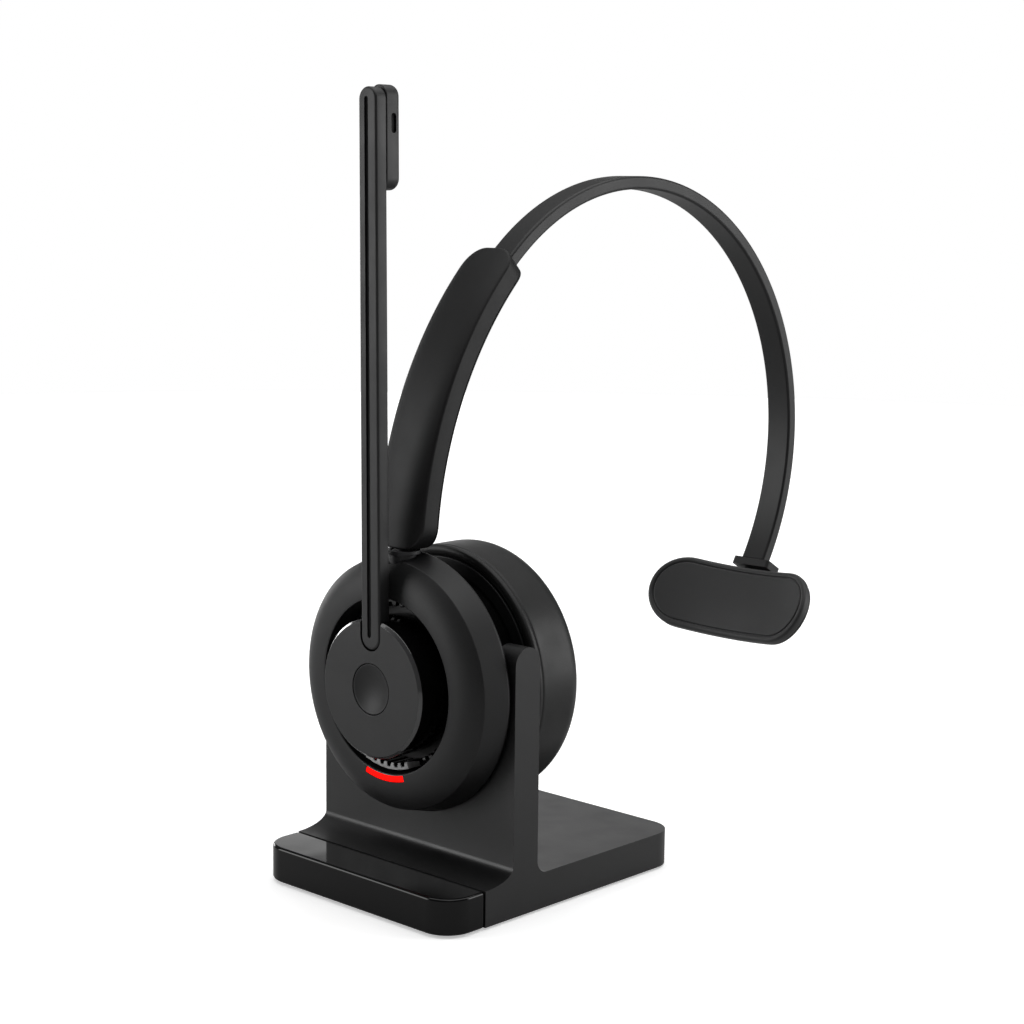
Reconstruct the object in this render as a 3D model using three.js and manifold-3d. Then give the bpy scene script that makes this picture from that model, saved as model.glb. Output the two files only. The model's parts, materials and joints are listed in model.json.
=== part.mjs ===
// Mono wireless office headset, resting in the cradle of its upright charging stand.
// Millimetres. +X to the right seen from the front, +Y to the back, +Z up.
// Origin: centre of the underside of the stand's rubber rest pad.
import * as THREE from 'three';
import { mergeVertices } from 'three/addons/utils/BufferGeometryUtils.js';
import Module from 'manifold-3d';

const wasm = await Module();
wasm.setup();

// ---------------------------------------------------------------- driving dimensions

const gap = 0.3; // between two pieces that meet
const seam = 0.12; // between two shells that close on each other

const base = {
  width: 66,
  depth: 83.6,
  height: 9.5,
  corner: 7.5,
  shadowGap: 0.6,
  wall: 2,
  roof: 1.6,
  capDepth: 12.4,
};
const restPad = { thickness: 1.1, inset: 4.5, corner: 4 };
const cover = { thickness: 1.4 };
const coverScrew = {
  sideInset: 7.5,
  frontY: -22,
  rearY: 33,
  headRadius: 2.4,
  headHeight: 0.9,
  shankRadius: 1,
};
const screwBoss = { radius: 3.1 };
const ballast = { width: 50, frontY: -14, rearY: 25, thickness: 3.6 };
const usb = { width: 9, height: 3.2, depth: 7.3, wall: 0.35, tongueWidth: 6.6, tongueHeight: 0.7 };
const chargeBoard = { width: 30, depth: 12, thickness: 1 };

const upright = {
  centreY: -15.62,
  thickness: 8.45,
  height: 65.6,
  footFrontHeight: 3.6,
  footRear: 3.3,
};
const cup = { centreZ: 53.1, drumRadius: 26, drumWall: 1.6, rimRadius: 32.3, cradleGap: 0.35 };
const notchClearance = 0.4;
const pin = { radius: 1, spacing: 6, length: 7 };
const pinHolder = { width: 13, depth: 5, height: 5.5 };

const housing = {
  depth: 10.4,
  creaseDepth: 7.5,
  creaseRadius: 30.6,
  recessInset: 4.6,
  recessDepth: 7.7,
  recessDraft: 0.6,
  wall: 1.6,
};
const light = { angle: 33, width: 1.15, depth: 1.0, offset: 0.6 };
const detents = { count: 30, height: 1.0, depth: 2.6, wall: 0.7 };
const hub = { gap: 4.45, proud: 4.6, face: 5, wall: 2, chamfer: 0.7, backGap: 1.1 };
const axle = { radius: 8.9, bore: 4, grooveDepth: 0.6, clipThickness: 0.5, clipWidth: 2.6, reach: 1.9 };
const button = { radius: 6, thickness: 2, dish: 0.7, stemRadius: 3, travel: 0.8, sink: 0.1 };
const boom = {
  endRadius: 3.15,
  tipRadius: 2.95,
  start: 9.6,
  length: 141.4,
  thickness: 3.4,
  lean: 0.6,
  grooveWidth: 1.25,
  grooveDepth: 0.8,
  grooveStart: 12.5,
  grooveEnd: 139.2,
  grooveOffset: -0.35,
};
const micPod = { length: 24.2, depth: 4.6, radius: 2.8, top: 142 };
const mic = { radius: 1.9, thickness: 1.6, portWidth: 1.2, portLength: 4 };

const mainBoard = { thickness: 1, standoff: 0.9 };
const muteSwitch = { size: 5, thickness: 1.2 };
const battery = { width: 26, height: 20, thickness: 3.8 };
const baffle = { radius: 29.4, thickness: 1.6 };
const speaker = { radius: 14.6, depth: 5, rim: 1.6 };
const cushion = { depth: 17.2, holeRadius: 16.6, edgeRadius: 5.6, bore: 15.2 };
const mesh = { thickness: 0.6 };
const housingScrew = {
  ringOffset: 1.1,
  radius: 0.7,
  headRadius: 1.2,
  headHeight: 0.8,
  bossRadius: 1.6,
  bossDepth: 4,
  count: 3,
};
const lugRadius = housingScrew.bossRadius + 0.5;

const neck = {
  y: -24.6,
  pinRadius: 2.7,
  gripRadius: 1.5,
  gripHeight: 5.5,
  bushWall: 0.6,
  collarWall: 0.7,
  flangeHeight: 1.1,
};
const neckGap = 0.6;
const arm = {
  centreY: 74.9,
  centreZ: 82.4,
  midRadius: 98.4,
  sideThickness: 5.2,
  crown: 0.95,
  crownWidth: 2.6,
  seamHeight: 0.45,
  width: 16,
  topAngle: 132.6,
  cornerRadius: 6,
};
const band = { width: 7.8, thickness: 3.4, edge: 0.7, radius: 70.1, offset: 1.1, tailLength: 66, tilt: 30.8 };
const bandClearance = 0.3;
const frictionPad = { angle: 138.5, length: 9, thickness: 1.3, width: 5 };
const endStop = { length: 4 };
const armScrew = { angle: 156, side: 6, radius: 0.9 };

const bracket = { width: 12.6, height: 2.2, thickness: 4.4, tongueWidth: 7, tongueThickness: 3.2 };
const pad = {
  width: 54.7,
  height: 21.5,
  distance: 16.2,
  curve: 75,
  forward: 3.5,
  softThickness: 2.4,
  backThickness: 1.3,
  backInset: 0.5,
};
const hinge = { drop: 1.9, back: 2.7, clear: 1.3, pinRadius: 0.9, earWidth: 2.4, earRadius: 2 };
const roundSteps = 44;
const armSteps = 12;

// ---------------------------------------------------------------- stations along Y and Z

const baseFront = -base.depth / 2;
const capSeam = baseFront + base.capDepth;
const wallFront = upright.centreY - upright.thickness / 2;
const wallRear = upright.centreY + upright.thickness / 2;
const housingBack = wallFront - cup.cradleGap;
const housingFront = housingBack - housing.depth;
const creaseY = housingBack - housing.creaseDepth;
const recessFloor = housingFront + housing.recessDepth;
const floorBack = recessFloor + housing.wall;
const hubFace = housingFront - hub.proud;
const hubBack = recessFloor - hub.backGap;
const boomBack = hubFace + boom.thickness;
const cushionFront = wallRear + cup.cradleGap;
const cushionBack = cushionFront + cushion.depth;
const baffleBack = cushionFront + baffle.thickness;
const recessRadius = cup.drumRadius - housing.recessInset;
const recessEnd = recessRadius - housing.recessDraft;
const hubRadius = recessRadius - hub.gap;
const screwRing = recessRadius + housingScrew.ringOffset;
const flangeHole = recessEnd + 2 * housing.wall + 0.4;
const notchRadius = cup.drumRadius + notchClearance;
const notchBottom = cup.centreZ - notchRadius;
const coverBottom = restPad.thickness + gap;
const coverTop = coverBottom + cover.thickness;
const roofZ = base.height - base.roof;
const axleEnd = floorBack + axle.reach;
const boardFront = axleEnd + mainBoard.standoff;
const drumInner = cup.drumRadius - cup.drumWall;
const boardRadius = screwRing - lugRadius - gap;
const bushInner = neck.pinRadius + gap;
const bushRadius = bushInner + neck.bushWall;
const neckBore = bushRadius + gap;
const collarRadius = neckBore + neck.collarWall;
const collarBottom = recessEnd + housing.wall + 2;

const armInner = arm.midRadius - arm.sideThickness / 2;
const armOuter = arm.midRadius + arm.sideThickness / 2;
const stripRadius = arm.midRadius - band.offset;
const rimAtNeck = housing.creaseRadius
  + ((cup.rimRadius - housing.creaseRadius) * (neck.y - creaseY)) / housing.creaseDepth;
const neckTop = cup.centreZ + cup.rimRadius + neckGap;
const armBottomAngle = 180 - THREE.MathUtils.radToDeg(
  Math.asin((neckTop - arm.centreZ) / arm.midRadius),
);

// ---------------------------------------------------------------- solids

const degrees = THREE.MathUtils.degToRad;
const axisX = new THREE.Vector3(1, 0, 0);
const axisY = new THREE.Vector3(0, 1, 0);
const axisZ = new THREE.Vector3(0, 0, 1);

/** Shares the vertices of a closed geometry and makes its faces point outwards. */
function closed(geometry) {
  const bare = geometry.clone();
  bare.deleteAttribute('normal');
  bare.deleteAttribute('uv');
  bare.clearGroups();
  const merged = mergeVertices(bare, 1e-4);
  const place = merged.attributes.position;
  const corners = [0, 1, 2].map(() => new THREE.Vector3());
  const faces = [];
  let volume = 0;
  for (let i = 0; i < merged.index.count; i += 3) {
    const face = [0, 1, 2].map((k) => merged.index.getX(i + k));
    if (new Set(face).size < 3) continue;
    face.forEach((vertex, k) => corners[k].fromBufferAttribute(place, vertex));
    volume += corners[0].dot(corners[1].cross(corners[2]));
    faces.push(face);
  }
  merged.setIndex(faces.flatMap(([a, b, c]) => (volume > 0 ? [a, b, c] : [a, c, b])));
  return merged;
}

function solidOf(geometry) {
  const body = closed(geometry);
  return new wasm.Manifold(new wasm.Mesh({
    numProp: 3,
    vertProperties: Float32Array.from(body.attributes.position.array),
    triVerts: Uint32Array.from(body.index.array),
  }));
}

function geometryOf(solid) {
  const data = solid.getMesh();
  const geometry = new THREE.BufferGeometry();
  geometry.setAttribute('position', new THREE.BufferAttribute(Float32Array.from(data.vertProperties), 3));
  geometry.setIndex(Array.from(data.triVerts));
  return geometry;
}

function cut(body, ...tools) {
  return geometryOf(tools.reduce((solid, tool) => solid.subtract(solidOf(tool)), solidOf(body)));
}

function join(body, ...others) {
  return geometryOf(others.reduce((solid, other) => solid.add(solidOf(other)), solidOf(body)));
}

function common(body, ...others) {
  return geometryOf(others.reduce((solid, other) => solid.intersect(solidOf(other)), solidOf(body)));
}

/** A solid of revolution about Y from a closed outline of [radius, y] points. */
function turned(outline, steps = roundSteps) {
  const points = [...outline, outline[0]].map(([radius, y]) => new THREE.Vector2(radius, y));
  return closed(new THREE.LatheGeometry(points, steps));
}

function ring(inner, outer, front, back, steps = roundSteps) {
  return turned([[inner, front], [outer, front], [outer, back], [inner, back]], steps);
}

function disc(radius, front, back, steps = roundSteps) {
  return closed(new THREE.CylinderGeometry(radius, radius, back - front, steps)
    .translate(0, (front + back) / 2, 0));
}

function block(width, depth, height, x, y, z) {
  return closed(new THREE.BoxGeometry(width, depth, height).translate(x, y, z));
}

/** An upright cylinder from one height to another. */
function post(radius, bottom, top, x = 0, y = 0, steps = 14) {
  return closed(new THREE.CylinderGeometry(radius, radius, top - bottom, steps)
    .rotateX(Math.PI / 2)
    .translate(x, y, (bottom + top) / 2));
}

/** Extrudes an outline drawn in X and Y upwards. */
function raised(shape, bottom, top, curveSegments = 6) {
  const settings = { depth: top - bottom, bevelEnabled: false, curveSegments };
  return closed(new THREE.ExtrudeGeometry(shape, settings)
    .translate(0, 0, bottom));
}

/** Extrudes an outline drawn in X and Z from front to back. */
function deep(shape, front, back, curveSegments = 8) {
  const settings = { depth: back - front, bevelEnabled: false, curveSegments };
  return closed(new THREE.ExtrudeGeometry(shape, settings)
    .rotateX(Math.PI / 2)
    .translate(0, back, 0));
}

/** Extrudes an outline drawn in Y and Z across, centred on X, with a bevel on both ends. */
function across(shape, width, bevel = {}, curveSegments = 12) {
  const settings = { depth: width, bevelEnabled: false, curveSegments, ...bevel };
  return closed(new THREE.ExtrudeGeometry(shape, settings)
    .applyMatrix4(new THREE.Matrix4().makeBasis(axisY, axisZ, axisX))
    .translate(-width / 2, 0, 0));
}

function roundedRectangle(width, depth, corner) {
  const right = width / 2;
  const top = depth / 2;
  const shape = new THREE.Shape();
  shape.absarc(right - corner, top - corner, corner, 0, Math.PI / 2);
  shape.absarc(corner - right, top - corner, corner, Math.PI / 2, Math.PI);
  shape.absarc(corner - right, corner - top, corner, Math.PI, Math.PI * 1.5);
  shape.absarc(right - corner, corner - top, corner, Math.PI * 1.5, Math.PI * 2);
  shape.closePath();
  return shape;
}

function stadium(width, height) {
  return roundedRectangle(width, height, height / 2 - 0.001);
}

/** A band between two radii and two angles in degrees, about a centre. */
function arcBand(centreX, centreY, inner, outer, start, end) {
  const shape = new THREE.Shape();
  shape.absarc(centreX, centreY, outer, degrees(start), degrees(end), false);
  shape.absarc(centreX, centreY, inner, degrees(end), degrees(start), true);
  shape.closePath();
  return shape;
}

function finish(color, roughness, metalness = 0) {
  return new THREE.MeshStandardMaterial({ color, roughness, metalness, flatShading: true });
}

const finishes = {
  matte: () => finish('#1c1c1d', 0.6),
  gloss: () => finish('#060606', 0.12),
  rubber: () => finish('#181818', 0.85),
  soft: () => finish('#19191a', 0.7),
  steel: () => finish('#8d9093', 0.35, 1),
  gold: () => finish('#c79a3c', 0.3, 1),
  board: () => finish('#1d3a2a', 0.5),
  nylon: () => finish('#2b2b2c', 0.5),
  light: () => finish('#ff1208', 0.4),
  foil: () => finish('#b9bcc0', 0.4, 0.6),
  felt: () => finish('#232323', 0.95),
};

/** Names a solid and gives it a material of its own. */
function piece(name, geometry, finishName) {
  const mesh3d = new THREE.Mesh(geometry, finishes[finishName]());
  mesh3d.name = name;
  return mesh3d;
}

// ---------------------------------------------------------------- charging stand

function basePlan(inset) {
  return roundedRectangle(base.width - 2 * inset, base.depth - 2 * inset, base.corner - inset);
}

/** The part of the base behind a Y station, as a block to intersect or subtract. */
function behind(y) {
  const far = base.depth;
  return block(base.width * 2, far, base.height * 4, 0, y + far / 2, base.height);
}

function screwPlaces() {
  const x = base.width / 2 - coverScrew.sideInset;
  return [[-x, coverScrew.frontY], [x, coverScrew.frontY], [-x, coverScrew.rearY], [x, coverScrew.rearY]];
}

function uprightProfile() {
  const radius = upright.thickness / 2;
  const toe = capSeam + gap / 2;
  const low = roofZ + base.roof / 4;
  const shape = new THREE.Shape();
  shape.moveTo(toe, low);
  shape.lineTo(wallRear + upright.footRear, low);
  shape.lineTo(wallRear + upright.footRear, base.height);
  shape.absarc(
    wallRear + upright.footRear,
    base.height + upright.footRear,
    upright.footRear,
    -Math.PI / 2,
    -Math.PI,
    true,
  );
  shape.absarc(upright.centreY, upright.height - radius, radius, 0, Math.PI, false);
  shape.absellipse(
    toe,
    base.height + upright.footFrontHeight,
    wallFront - toe,
    upright.footFrontHeight,
    0,
    -Math.PI / 2,
    true,
  );
  shape.closePath();
  return shape;
}

function notchShape() {
  const top = upright.height * 2;
  const shape = new THREE.Shape();
  shape.moveTo(notchRadius, top);
  shape.lineTo(-notchRadius, top);
  shape.absarc(0, cup.centreZ, notchRadius, Math.PI, Math.PI * 2, false);
  shape.closePath();
  return shape;
}

function usbZ() {
  return roofZ - gap - usb.height / 2;
}

function standPieces() {
  const group = new THREE.Group();
  const rearFace = base.depth / 2;
  const plate = raised(basePlan(0), base.shadowGap, base.height);
  const hollow = raised(basePlan(base.wall), base.shadowGap - 1, roofZ);
  const coverSpace = raised(basePlan(base.wall), base.shadowGap - 1, coverTop + gap);
  const bodyFront = capSeam + gap / 2;

  const bosses = screwPlaces().map(([x, y]) => post(screwBoss.radius, coverTop + gap, roofZ + 0.5, x, y));
  const pilots = screwPlaces().map(([x, y]) => post(coverScrew.shankRadius + gap, 0, roofZ - 0.4, x, y));
  const wires = block(
    pinHolder.width,
    pinHolder.depth,
    notchBottom - roofZ + 2,
    0,
    upright.centreY,
    (notchBottom + roofZ) / 2 - 0.5,
  );
  const pocket = block(
    pinHolder.width + 2 * gap,
    pinHolder.depth + 2 * gap,
    pinHolder.height + 4,
    0,
    upright.centreY,
    notchBottom - pinHolder.height / 2 + 1,
  );
  const socket = deep(stadium(usb.width + 2 * gap, usb.height + 2 * gap), rearFace - usb.depth, rearFace + 1, 4)
    .translate(0, 0, usbZ());
  const shell = cut(
    common(plate, behind(bodyFront)),
    common(hollow, behind(bodyFront + base.wall)),
  );
  const body = cut(
    join(shell, across(uprightProfile(), base.width), ...bosses),
    deep(notchShape(), wallFront - 1, wallRear + 1, 18),
    pocket,
    wires,
    socket,
    coverSpace,
    ...pilots,
  );
  group.add(piece('stand_body', body, 'matte'));

  const capBack = capSeam - gap / 2;
  const cap = cut(plate, behind(capBack), cut(hollow, behind(capBack - base.wall)), coverSpace);
  group.add(piece('stand_front_cap', cap, 'gloss'));

  const coverInset = base.wall + gap;
  const coverHoles = screwPlaces().flatMap(([x, y]) => [
    post(coverScrew.shankRadius + gap, 0, base.height, x, y),
    post(coverScrew.headRadius + gap, 0, coverBottom + coverScrew.headHeight, x, y),
  ]);
  const coverPlate = cut(raised(basePlan(coverInset), coverBottom, coverTop), ...coverHoles);
  group.add(piece('stand_bottom_cover', coverPlate, 'matte'));
  group.add(piece(
    'rest_pad',
    raised(
      roundedRectangle(base.width - 2 * restPad.inset, base.depth - 2 * restPad.inset, restPad.corner),
      0,
      restPad.thickness,
    ),
    'rubber',
  ));
  screwPlaces().forEach(([x, y], i) => {
    const screw = join(
      post(coverScrew.headRadius, coverBottom, coverBottom + coverScrew.headHeight - gap, x, y),
      post(coverScrew.shankRadius, coverBottom, roofZ - 2 * gap - 0.4, x, y, 16),
    );
    group.add(piece(`cover_screw_${i + 1}`, screw, 'steel'));
  });

  const ballastBottom = coverTop + gap;
  const ballastBody = block(
    ballast.width,
    ballast.rearY - ballast.frontY,
    ballast.thickness,
    0,
    (ballast.rearY + ballast.frontY) / 2,
    ballastBottom + ballast.thickness / 2,
  );
  const ballastRelief = screwPlaces().map(([x, y]) => post(screwBoss.radius + gap, 0, base.height, x, y));
  group.add(piece('ballast_plate', cut(ballastBody, ...ballastRelief), 'steel'));

  const boardTop = usbZ() - usb.height / 2 - gap / 3;
  group.add(piece(
    'charging_board',
    block(
      chargeBoard.width,
      chargeBoard.depth,
      chargeBoard.thickness,
      0,
      rearFace - base.wall - gap - chargeBoard.depth / 2,
      boardTop - chargeBoard.thickness / 2,
    ),
    'board',
  ));
  const receptacle = join(
    cut(
      deep(stadium(usb.width, usb.height), rearFace - usb.depth, rearFace - gap, 4),
      deep(
        stadium(usb.width - 2 * usb.wall, usb.height - 2 * usb.wall),
        rearFace - usb.depth + 1,
        rearFace + 1,
        4,
      ),
    ),
    block(usb.tongueWidth, usb.depth - 1.5, usb.tongueHeight, 0, rearFace - usb.depth / 2 - 0.4, 0),
  ).translate(0, 0, usbZ());
  group.add(piece('usb_c_receptacle', receptacle, 'steel'));

  const holderTop = notchBottom - gap;
  const pinTop = cup.centreZ - Math.sqrt(cup.drumRadius ** 2 - (pin.spacing / 2) ** 2) - gap;
  const pinXs = [-pin.spacing / 2, pin.spacing / 2];
  const holder = cut(
    block(pinHolder.width, pinHolder.depth, pinHolder.height, 0, upright.centreY, holderTop - pinHolder.height / 2),
    ...pinXs.map((x) => post(pin.radius + gap, 0, upright.height, x, upright.centreY)),
  );
  group.add(piece('contact_pin_holder', holder, 'nylon'));
  ['left', 'right'].forEach((side, i) => {
    const probe = join(
      post(pin.radius, pinTop - pin.length, pinTop, pinXs[i], upright.centreY, 16),
      post(pin.radius * 1.5, pinTop - pin.length - 1, pinTop - pin.length + 0.5, pinXs[i], upright.centreY, 16),
    );
    group.add(piece(`contact_pin_${side}`, probe, 'gold'));
  });
  return group;
}

// ---------------------------------------------------------------- ear cup, about its own axis

function lightArc(grow, front, back) {
  const inner = recessRadius + light.offset;
  const half = light.angle / 2 + THREE.MathUtils.radToDeg(grow / inner);
  return deep(
    arcBand(0, 0, inner - grow, inner + light.width + grow, 270 - half, 270 + half),
    front,
    back,
    12,
  );
}

function detentOutline() {
  const outer = recessEnd - gap;
  const shape = new THREE.Shape();
  shape.absarc(0, 0, outer, 0, Math.PI * 2, false);
  const teeth = new THREE.Path();
  const step = (Math.PI * 2) / detents.count;
  const valley = outer - detents.wall;
  const crest = valley - detents.height;
  for (let i = 0; i < detents.count; i += 1) {
    const corners = [[valley, 0], [crest, 0.08], [crest, 0.32], [valley, 0.4]];
    corners.forEach(([radius, share], k) => {
      const turn = (i + share) * step;
      const place = [radius * Math.cos(turn), radius * Math.sin(turn)];
      if (i === 0 && k === 0) teeth.moveTo(...place);
      else teeth.lineTo(...place);
    });
  }
  teeth.closePath();
  shape.holes.push(teeth);
  return shape;
}

function clipRing(inner, outer, front, back) {
  const opening = block(inner, back - front + 2, outer * 2, 0, (front + back) / 2, -outer);
  return cut(ring(inner, outer, front, back, 40), opening);
}

function screwCircle() {
  return Array.from({ length: housingScrew.count }, (_, i) => {
    const turn = Math.PI / 2 + Math.PI / housingScrew.count + (i * Math.PI * 2) / housingScrew.count;
    return [screwRing * Math.cos(turn), screwRing * Math.sin(turn)];
  });
}

function frontHousing() {
  const inner = housing.wall;
  const rise = creaseY - housingFront;
  const span = housing.creaseRadius - recessRadius;
  const shell = turned([
    [axle.radius + gap, recessFloor],
    [recessEnd, recessFloor],
    [recessRadius, housingFront + 0.4],
    [recessRadius + 0.4, housingFront],
    [recessRadius + span * 0.4, housingFront + rise * 0.12],
    [recessRadius + span * 0.72, housingFront + rise * 0.4],
    [recessRadius + span * 0.9, housingFront + rise * 0.7],
    [housing.creaseRadius, creaseY],
    [cup.rimRadius, housingBack - 1.2],
    [cup.rimRadius - 0.15, housingBack - 0.5],
    [cup.rimRadius - 0.7, housingBack],
    [cup.rimRadius - inner, housingBack],
    [housing.creaseRadius - inner, creaseY + 0.6],
    [recessRadius + span * 0.72, housingFront + rise * 0.4 + inner * 1.2],
    [recessRadius + inner + 0.4, housingFront + inner * 1.4],
    [recessEnd + inner, floorBack],
    [axle.radius + gap, floorBack],
  ]);
  const collar = post(collarRadius, collarBottom, rimAtNeck + 0.1, 0, neck.y, 20);
  const neckHole = post(neckBore, collarBottom - 2, cup.rimRadius + 4, 0, neck.y, 20);
  const bosses = screwCircle().map(([x, z]) => disc(
    housingScrew.bossRadius,
    floorBack - housingScrew.bossDepth,
    floorBack,
    16,
  ).translate(x, 0, z));
  const holes = screwCircle().map(([x, z]) => disc(
    housingScrew.radius + gap,
    floorBack - housingScrew.bossDepth + 1,
    floorBack + 1,
    12,
  ).translate(x, 0, z));
  const lightSlot = lightArc(seam, housingFront - 1, housingFront + light.depth + gap);
  return cut(join(shell, collar, ...bosses), neckHole, lightSlot, ...holes);
}

function cushionOutline() {
  const round = cushion.edgeRadius;
  const radius = cup.rimRadius - 0.2;
  const quarter = (centreR, centreY, size, from, to, steps) => Array.from({ length: steps + 1 }, (_, i) => {
    const turn = degrees(from + ((to - from) * i) / steps);
    return [centreR + size * Math.cos(turn), centreY + size * Math.sin(turn)];
  });
  return [
    [cushion.holeRadius, baffleBack + gap],
    [baffle.radius + gap, baffleBack + gap],
    [baffle.radius + gap, cushionFront],
    [radius - 0.6, cushionFront],
    [radius, cushionFront + 0.8],
    ...quarter(radius - round, cushionBack - round, round, 0, 90, 4),
    ...quarter(cushion.bore + 4, cushionBack - 4, 4, 90, 180, 3),
    [cushion.bore, baffleBack + speaker.depth + 2],
    [cushion.holeRadius, baffleBack + speaker.depth + 0.5],
  ];
}

function cupPieces() {
  const group = new THREE.Group();
  group.position.set(0, 0, cup.centreZ);
  const flangeFront = housingBack - housing.wall;
  const padXs = [-pin.spacing / 2, pin.spacing / 2];

  group.add(piece('cup_front_housing', frontHousing(), 'matte'));

  const contactHoles = padXs.map((x) => post(1.5 + gap, -cup.drumRadius - 2, 0, x, upright.centreY));
  const screwHoles = screwCircle().map(([x, z]) => disc(housingScrew.radius + gap, flangeFront - 1, housingBack + 3, 12)
    .translate(x, 0, z));
  const flangeRadius = cup.rimRadius - housing.wall - gap;
  const drum = turned([
    [flangeHole, flangeFront],
    [flangeRadius - 0.35, flangeFront],
    [flangeRadius, housingBack],
    [cup.drumRadius, housingBack],
    [cup.drumRadius, cushionFront - gap],
    [drumInner, cushionFront - gap],
    [drumInner, floorBack + gap],
    [flangeHole, floorBack + gap],
  ]);
  const lugs = screwCircle().map(([x, z]) => disc(
    lugRadius,
    floorBack + gap,
    housingBack + 2,
    16,
  ).translate(x, 0, z));
  group.add(piece('cup_groove_drum', cut(
    join(drum, ...lugs),
    post(collarRadius + gap, collarBottom - gap, cup.rimRadius * 2, 0, neck.y, 20),
    ...contactHoles,
    ...screwHoles,
  ), 'matte'));

  group.add(piece('status_light_guide', lightArc(0, housingFront, housingFront + light.depth), 'light'));
  group.add(piece(
    'detent_ring',
    deep(detentOutline(), recessFloor - gap - detents.depth, recessFloor - gap, 20),
    'nylon',
  ));
  const washer = ring(axle.radius + gap, axle.radius + 4, hubBack + gap, recessFloor - gap, 40);
  group.add(piece('hub_wave_washer', washer, 'steel'));
  const board = disc(boardRadius, boardFront, boardFront + mainBoard.thickness, 40);
  group.add(piece('main_board', board, 'board'));
  group.add(piece(
    'mute_switch',
    block(
      muteSwitch.size,
      muteSwitch.thickness,
      muteSwitch.size,
      0,
      boardFront - gap / 3 - muteSwitch.thickness / 2,
      0,
    ),
    'steel',
  ));
  const batteryFront = boardFront + mainBoard.thickness + gap;
  group.add(piece(
    'battery_cell',
    block(battery.width, battery.thickness, battery.height, 0, batteryFront + battery.thickness / 2, 0),
    'foil',
  ));
  const grille = cut(
    ring(speaker.radius + gap, baffle.radius, cushionFront, baffleBack),
    ring(drumInner - gap, cup.drumRadius + gap, cushionFront - 1, cushionFront + gap),
  );
  group.add(piece('speaker_baffle', grille, 'matte'));
  const speakerFront = batteryFront + battery.thickness + gap;
  const speakerBack = baffleBack + speaker.depth - speaker.rim;
  group.add(piece(
    'speaker_driver',
    turned([
      [0, speakerFront],
      [speaker.radius * 0.6, speakerFront],
      [speaker.radius, speakerFront + 1.4],
      [speaker.radius, speakerBack],
      [speaker.radius - 1.4, speakerBack],
      [speaker.radius * 0.45, speakerBack - 1.2],
      [0, speakerBack - 0.6],
    ], 40),
    'steel',
  ));
  const meshFront = speakerBack + gap;
  const cloth = disc(speaker.radius - 0.2, meshFront, meshFront + mesh.thickness, 40);
  group.add(piece('acoustic_mesh', cloth, 'felt'));
  group.add(piece('ear_cushion', turned(cushionOutline()), 'soft'));
  padXs.forEach((x, i) => {
    const low = -Math.sqrt(cup.drumRadius ** 2 - x ** 2);
    group.add(piece(
      `charge_contact_${i === 0 ? 'left' : 'right'}`,
      post(1.5, low, low + cup.drumWall + 0.6, x, upright.centreY, 16),
      'gold',
    ));
  });
  screwCircle().forEach(([x, z], i) => {
    const screw = join(
      disc(housingScrew.radius, floorBack - housingScrew.bossDepth + 1 + gap, housingBack + 2 + gap, 12),
      disc(housingScrew.headRadius, housingBack + 2 + gap, housingBack + 2 + gap + housingScrew.headHeight, 16),
    ).translate(x, 0, z);
    group.add(piece(`housing_screw_${i + 1}`, screw, 'steel'));
  });
  const bushBottom = rimAtNeck - housing.wall - 0.6;
  const bush = cut(
    post(bushRadius, bushBottom, rimAtNeck + neckGap * 0.5, 0, neck.y, 20),
    post(bushInner, 0, cup.rimRadius * 2, 0, neck.y, 20),
  );
  group.add(piece('swivel_bush', bush, 'nylon'));
  return group;
}

// ---------------------------------------------------------------- boom and mute button

function boomOutline(grow = 0) {
  const bottom = boom.start + boom.endRadius;
  const top = boom.length - boom.tipRadius;
  const shape = new THREE.Shape();
  shape.absarc(0, top, boom.tipRadius + grow, 0, Math.PI, false);
  shape.absarc(0, bottom, boom.endRadius + grow, Math.PI, Math.PI * 2, false);
  shape.closePath();
  return shape;
}

function grooveOutline() {
  const half = boom.grooveWidth / 2;
  const shape = new THREE.Shape();
  shape.absarc(boom.grooveOffset, boom.grooveEnd - half, half, 0, Math.PI, false);
  shape.absarc(boom.grooveOffset, boom.grooveStart + half, half, Math.PI, Math.PI * 2, false);
  shape.closePath();
  return shape;
}

function podOutline(grow = 0) {
  const radius = micPod.radius;
  const shape = new THREE.Shape();
  shape.absarc(0, micPod.top - radius, radius + grow, 0, Math.PI, false);
  shape.absarc(0, micPod.top - micPod.length + radius, radius + grow, Math.PI, Math.PI * 2, false);
  shape.closePath();
  return shape;
}

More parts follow.
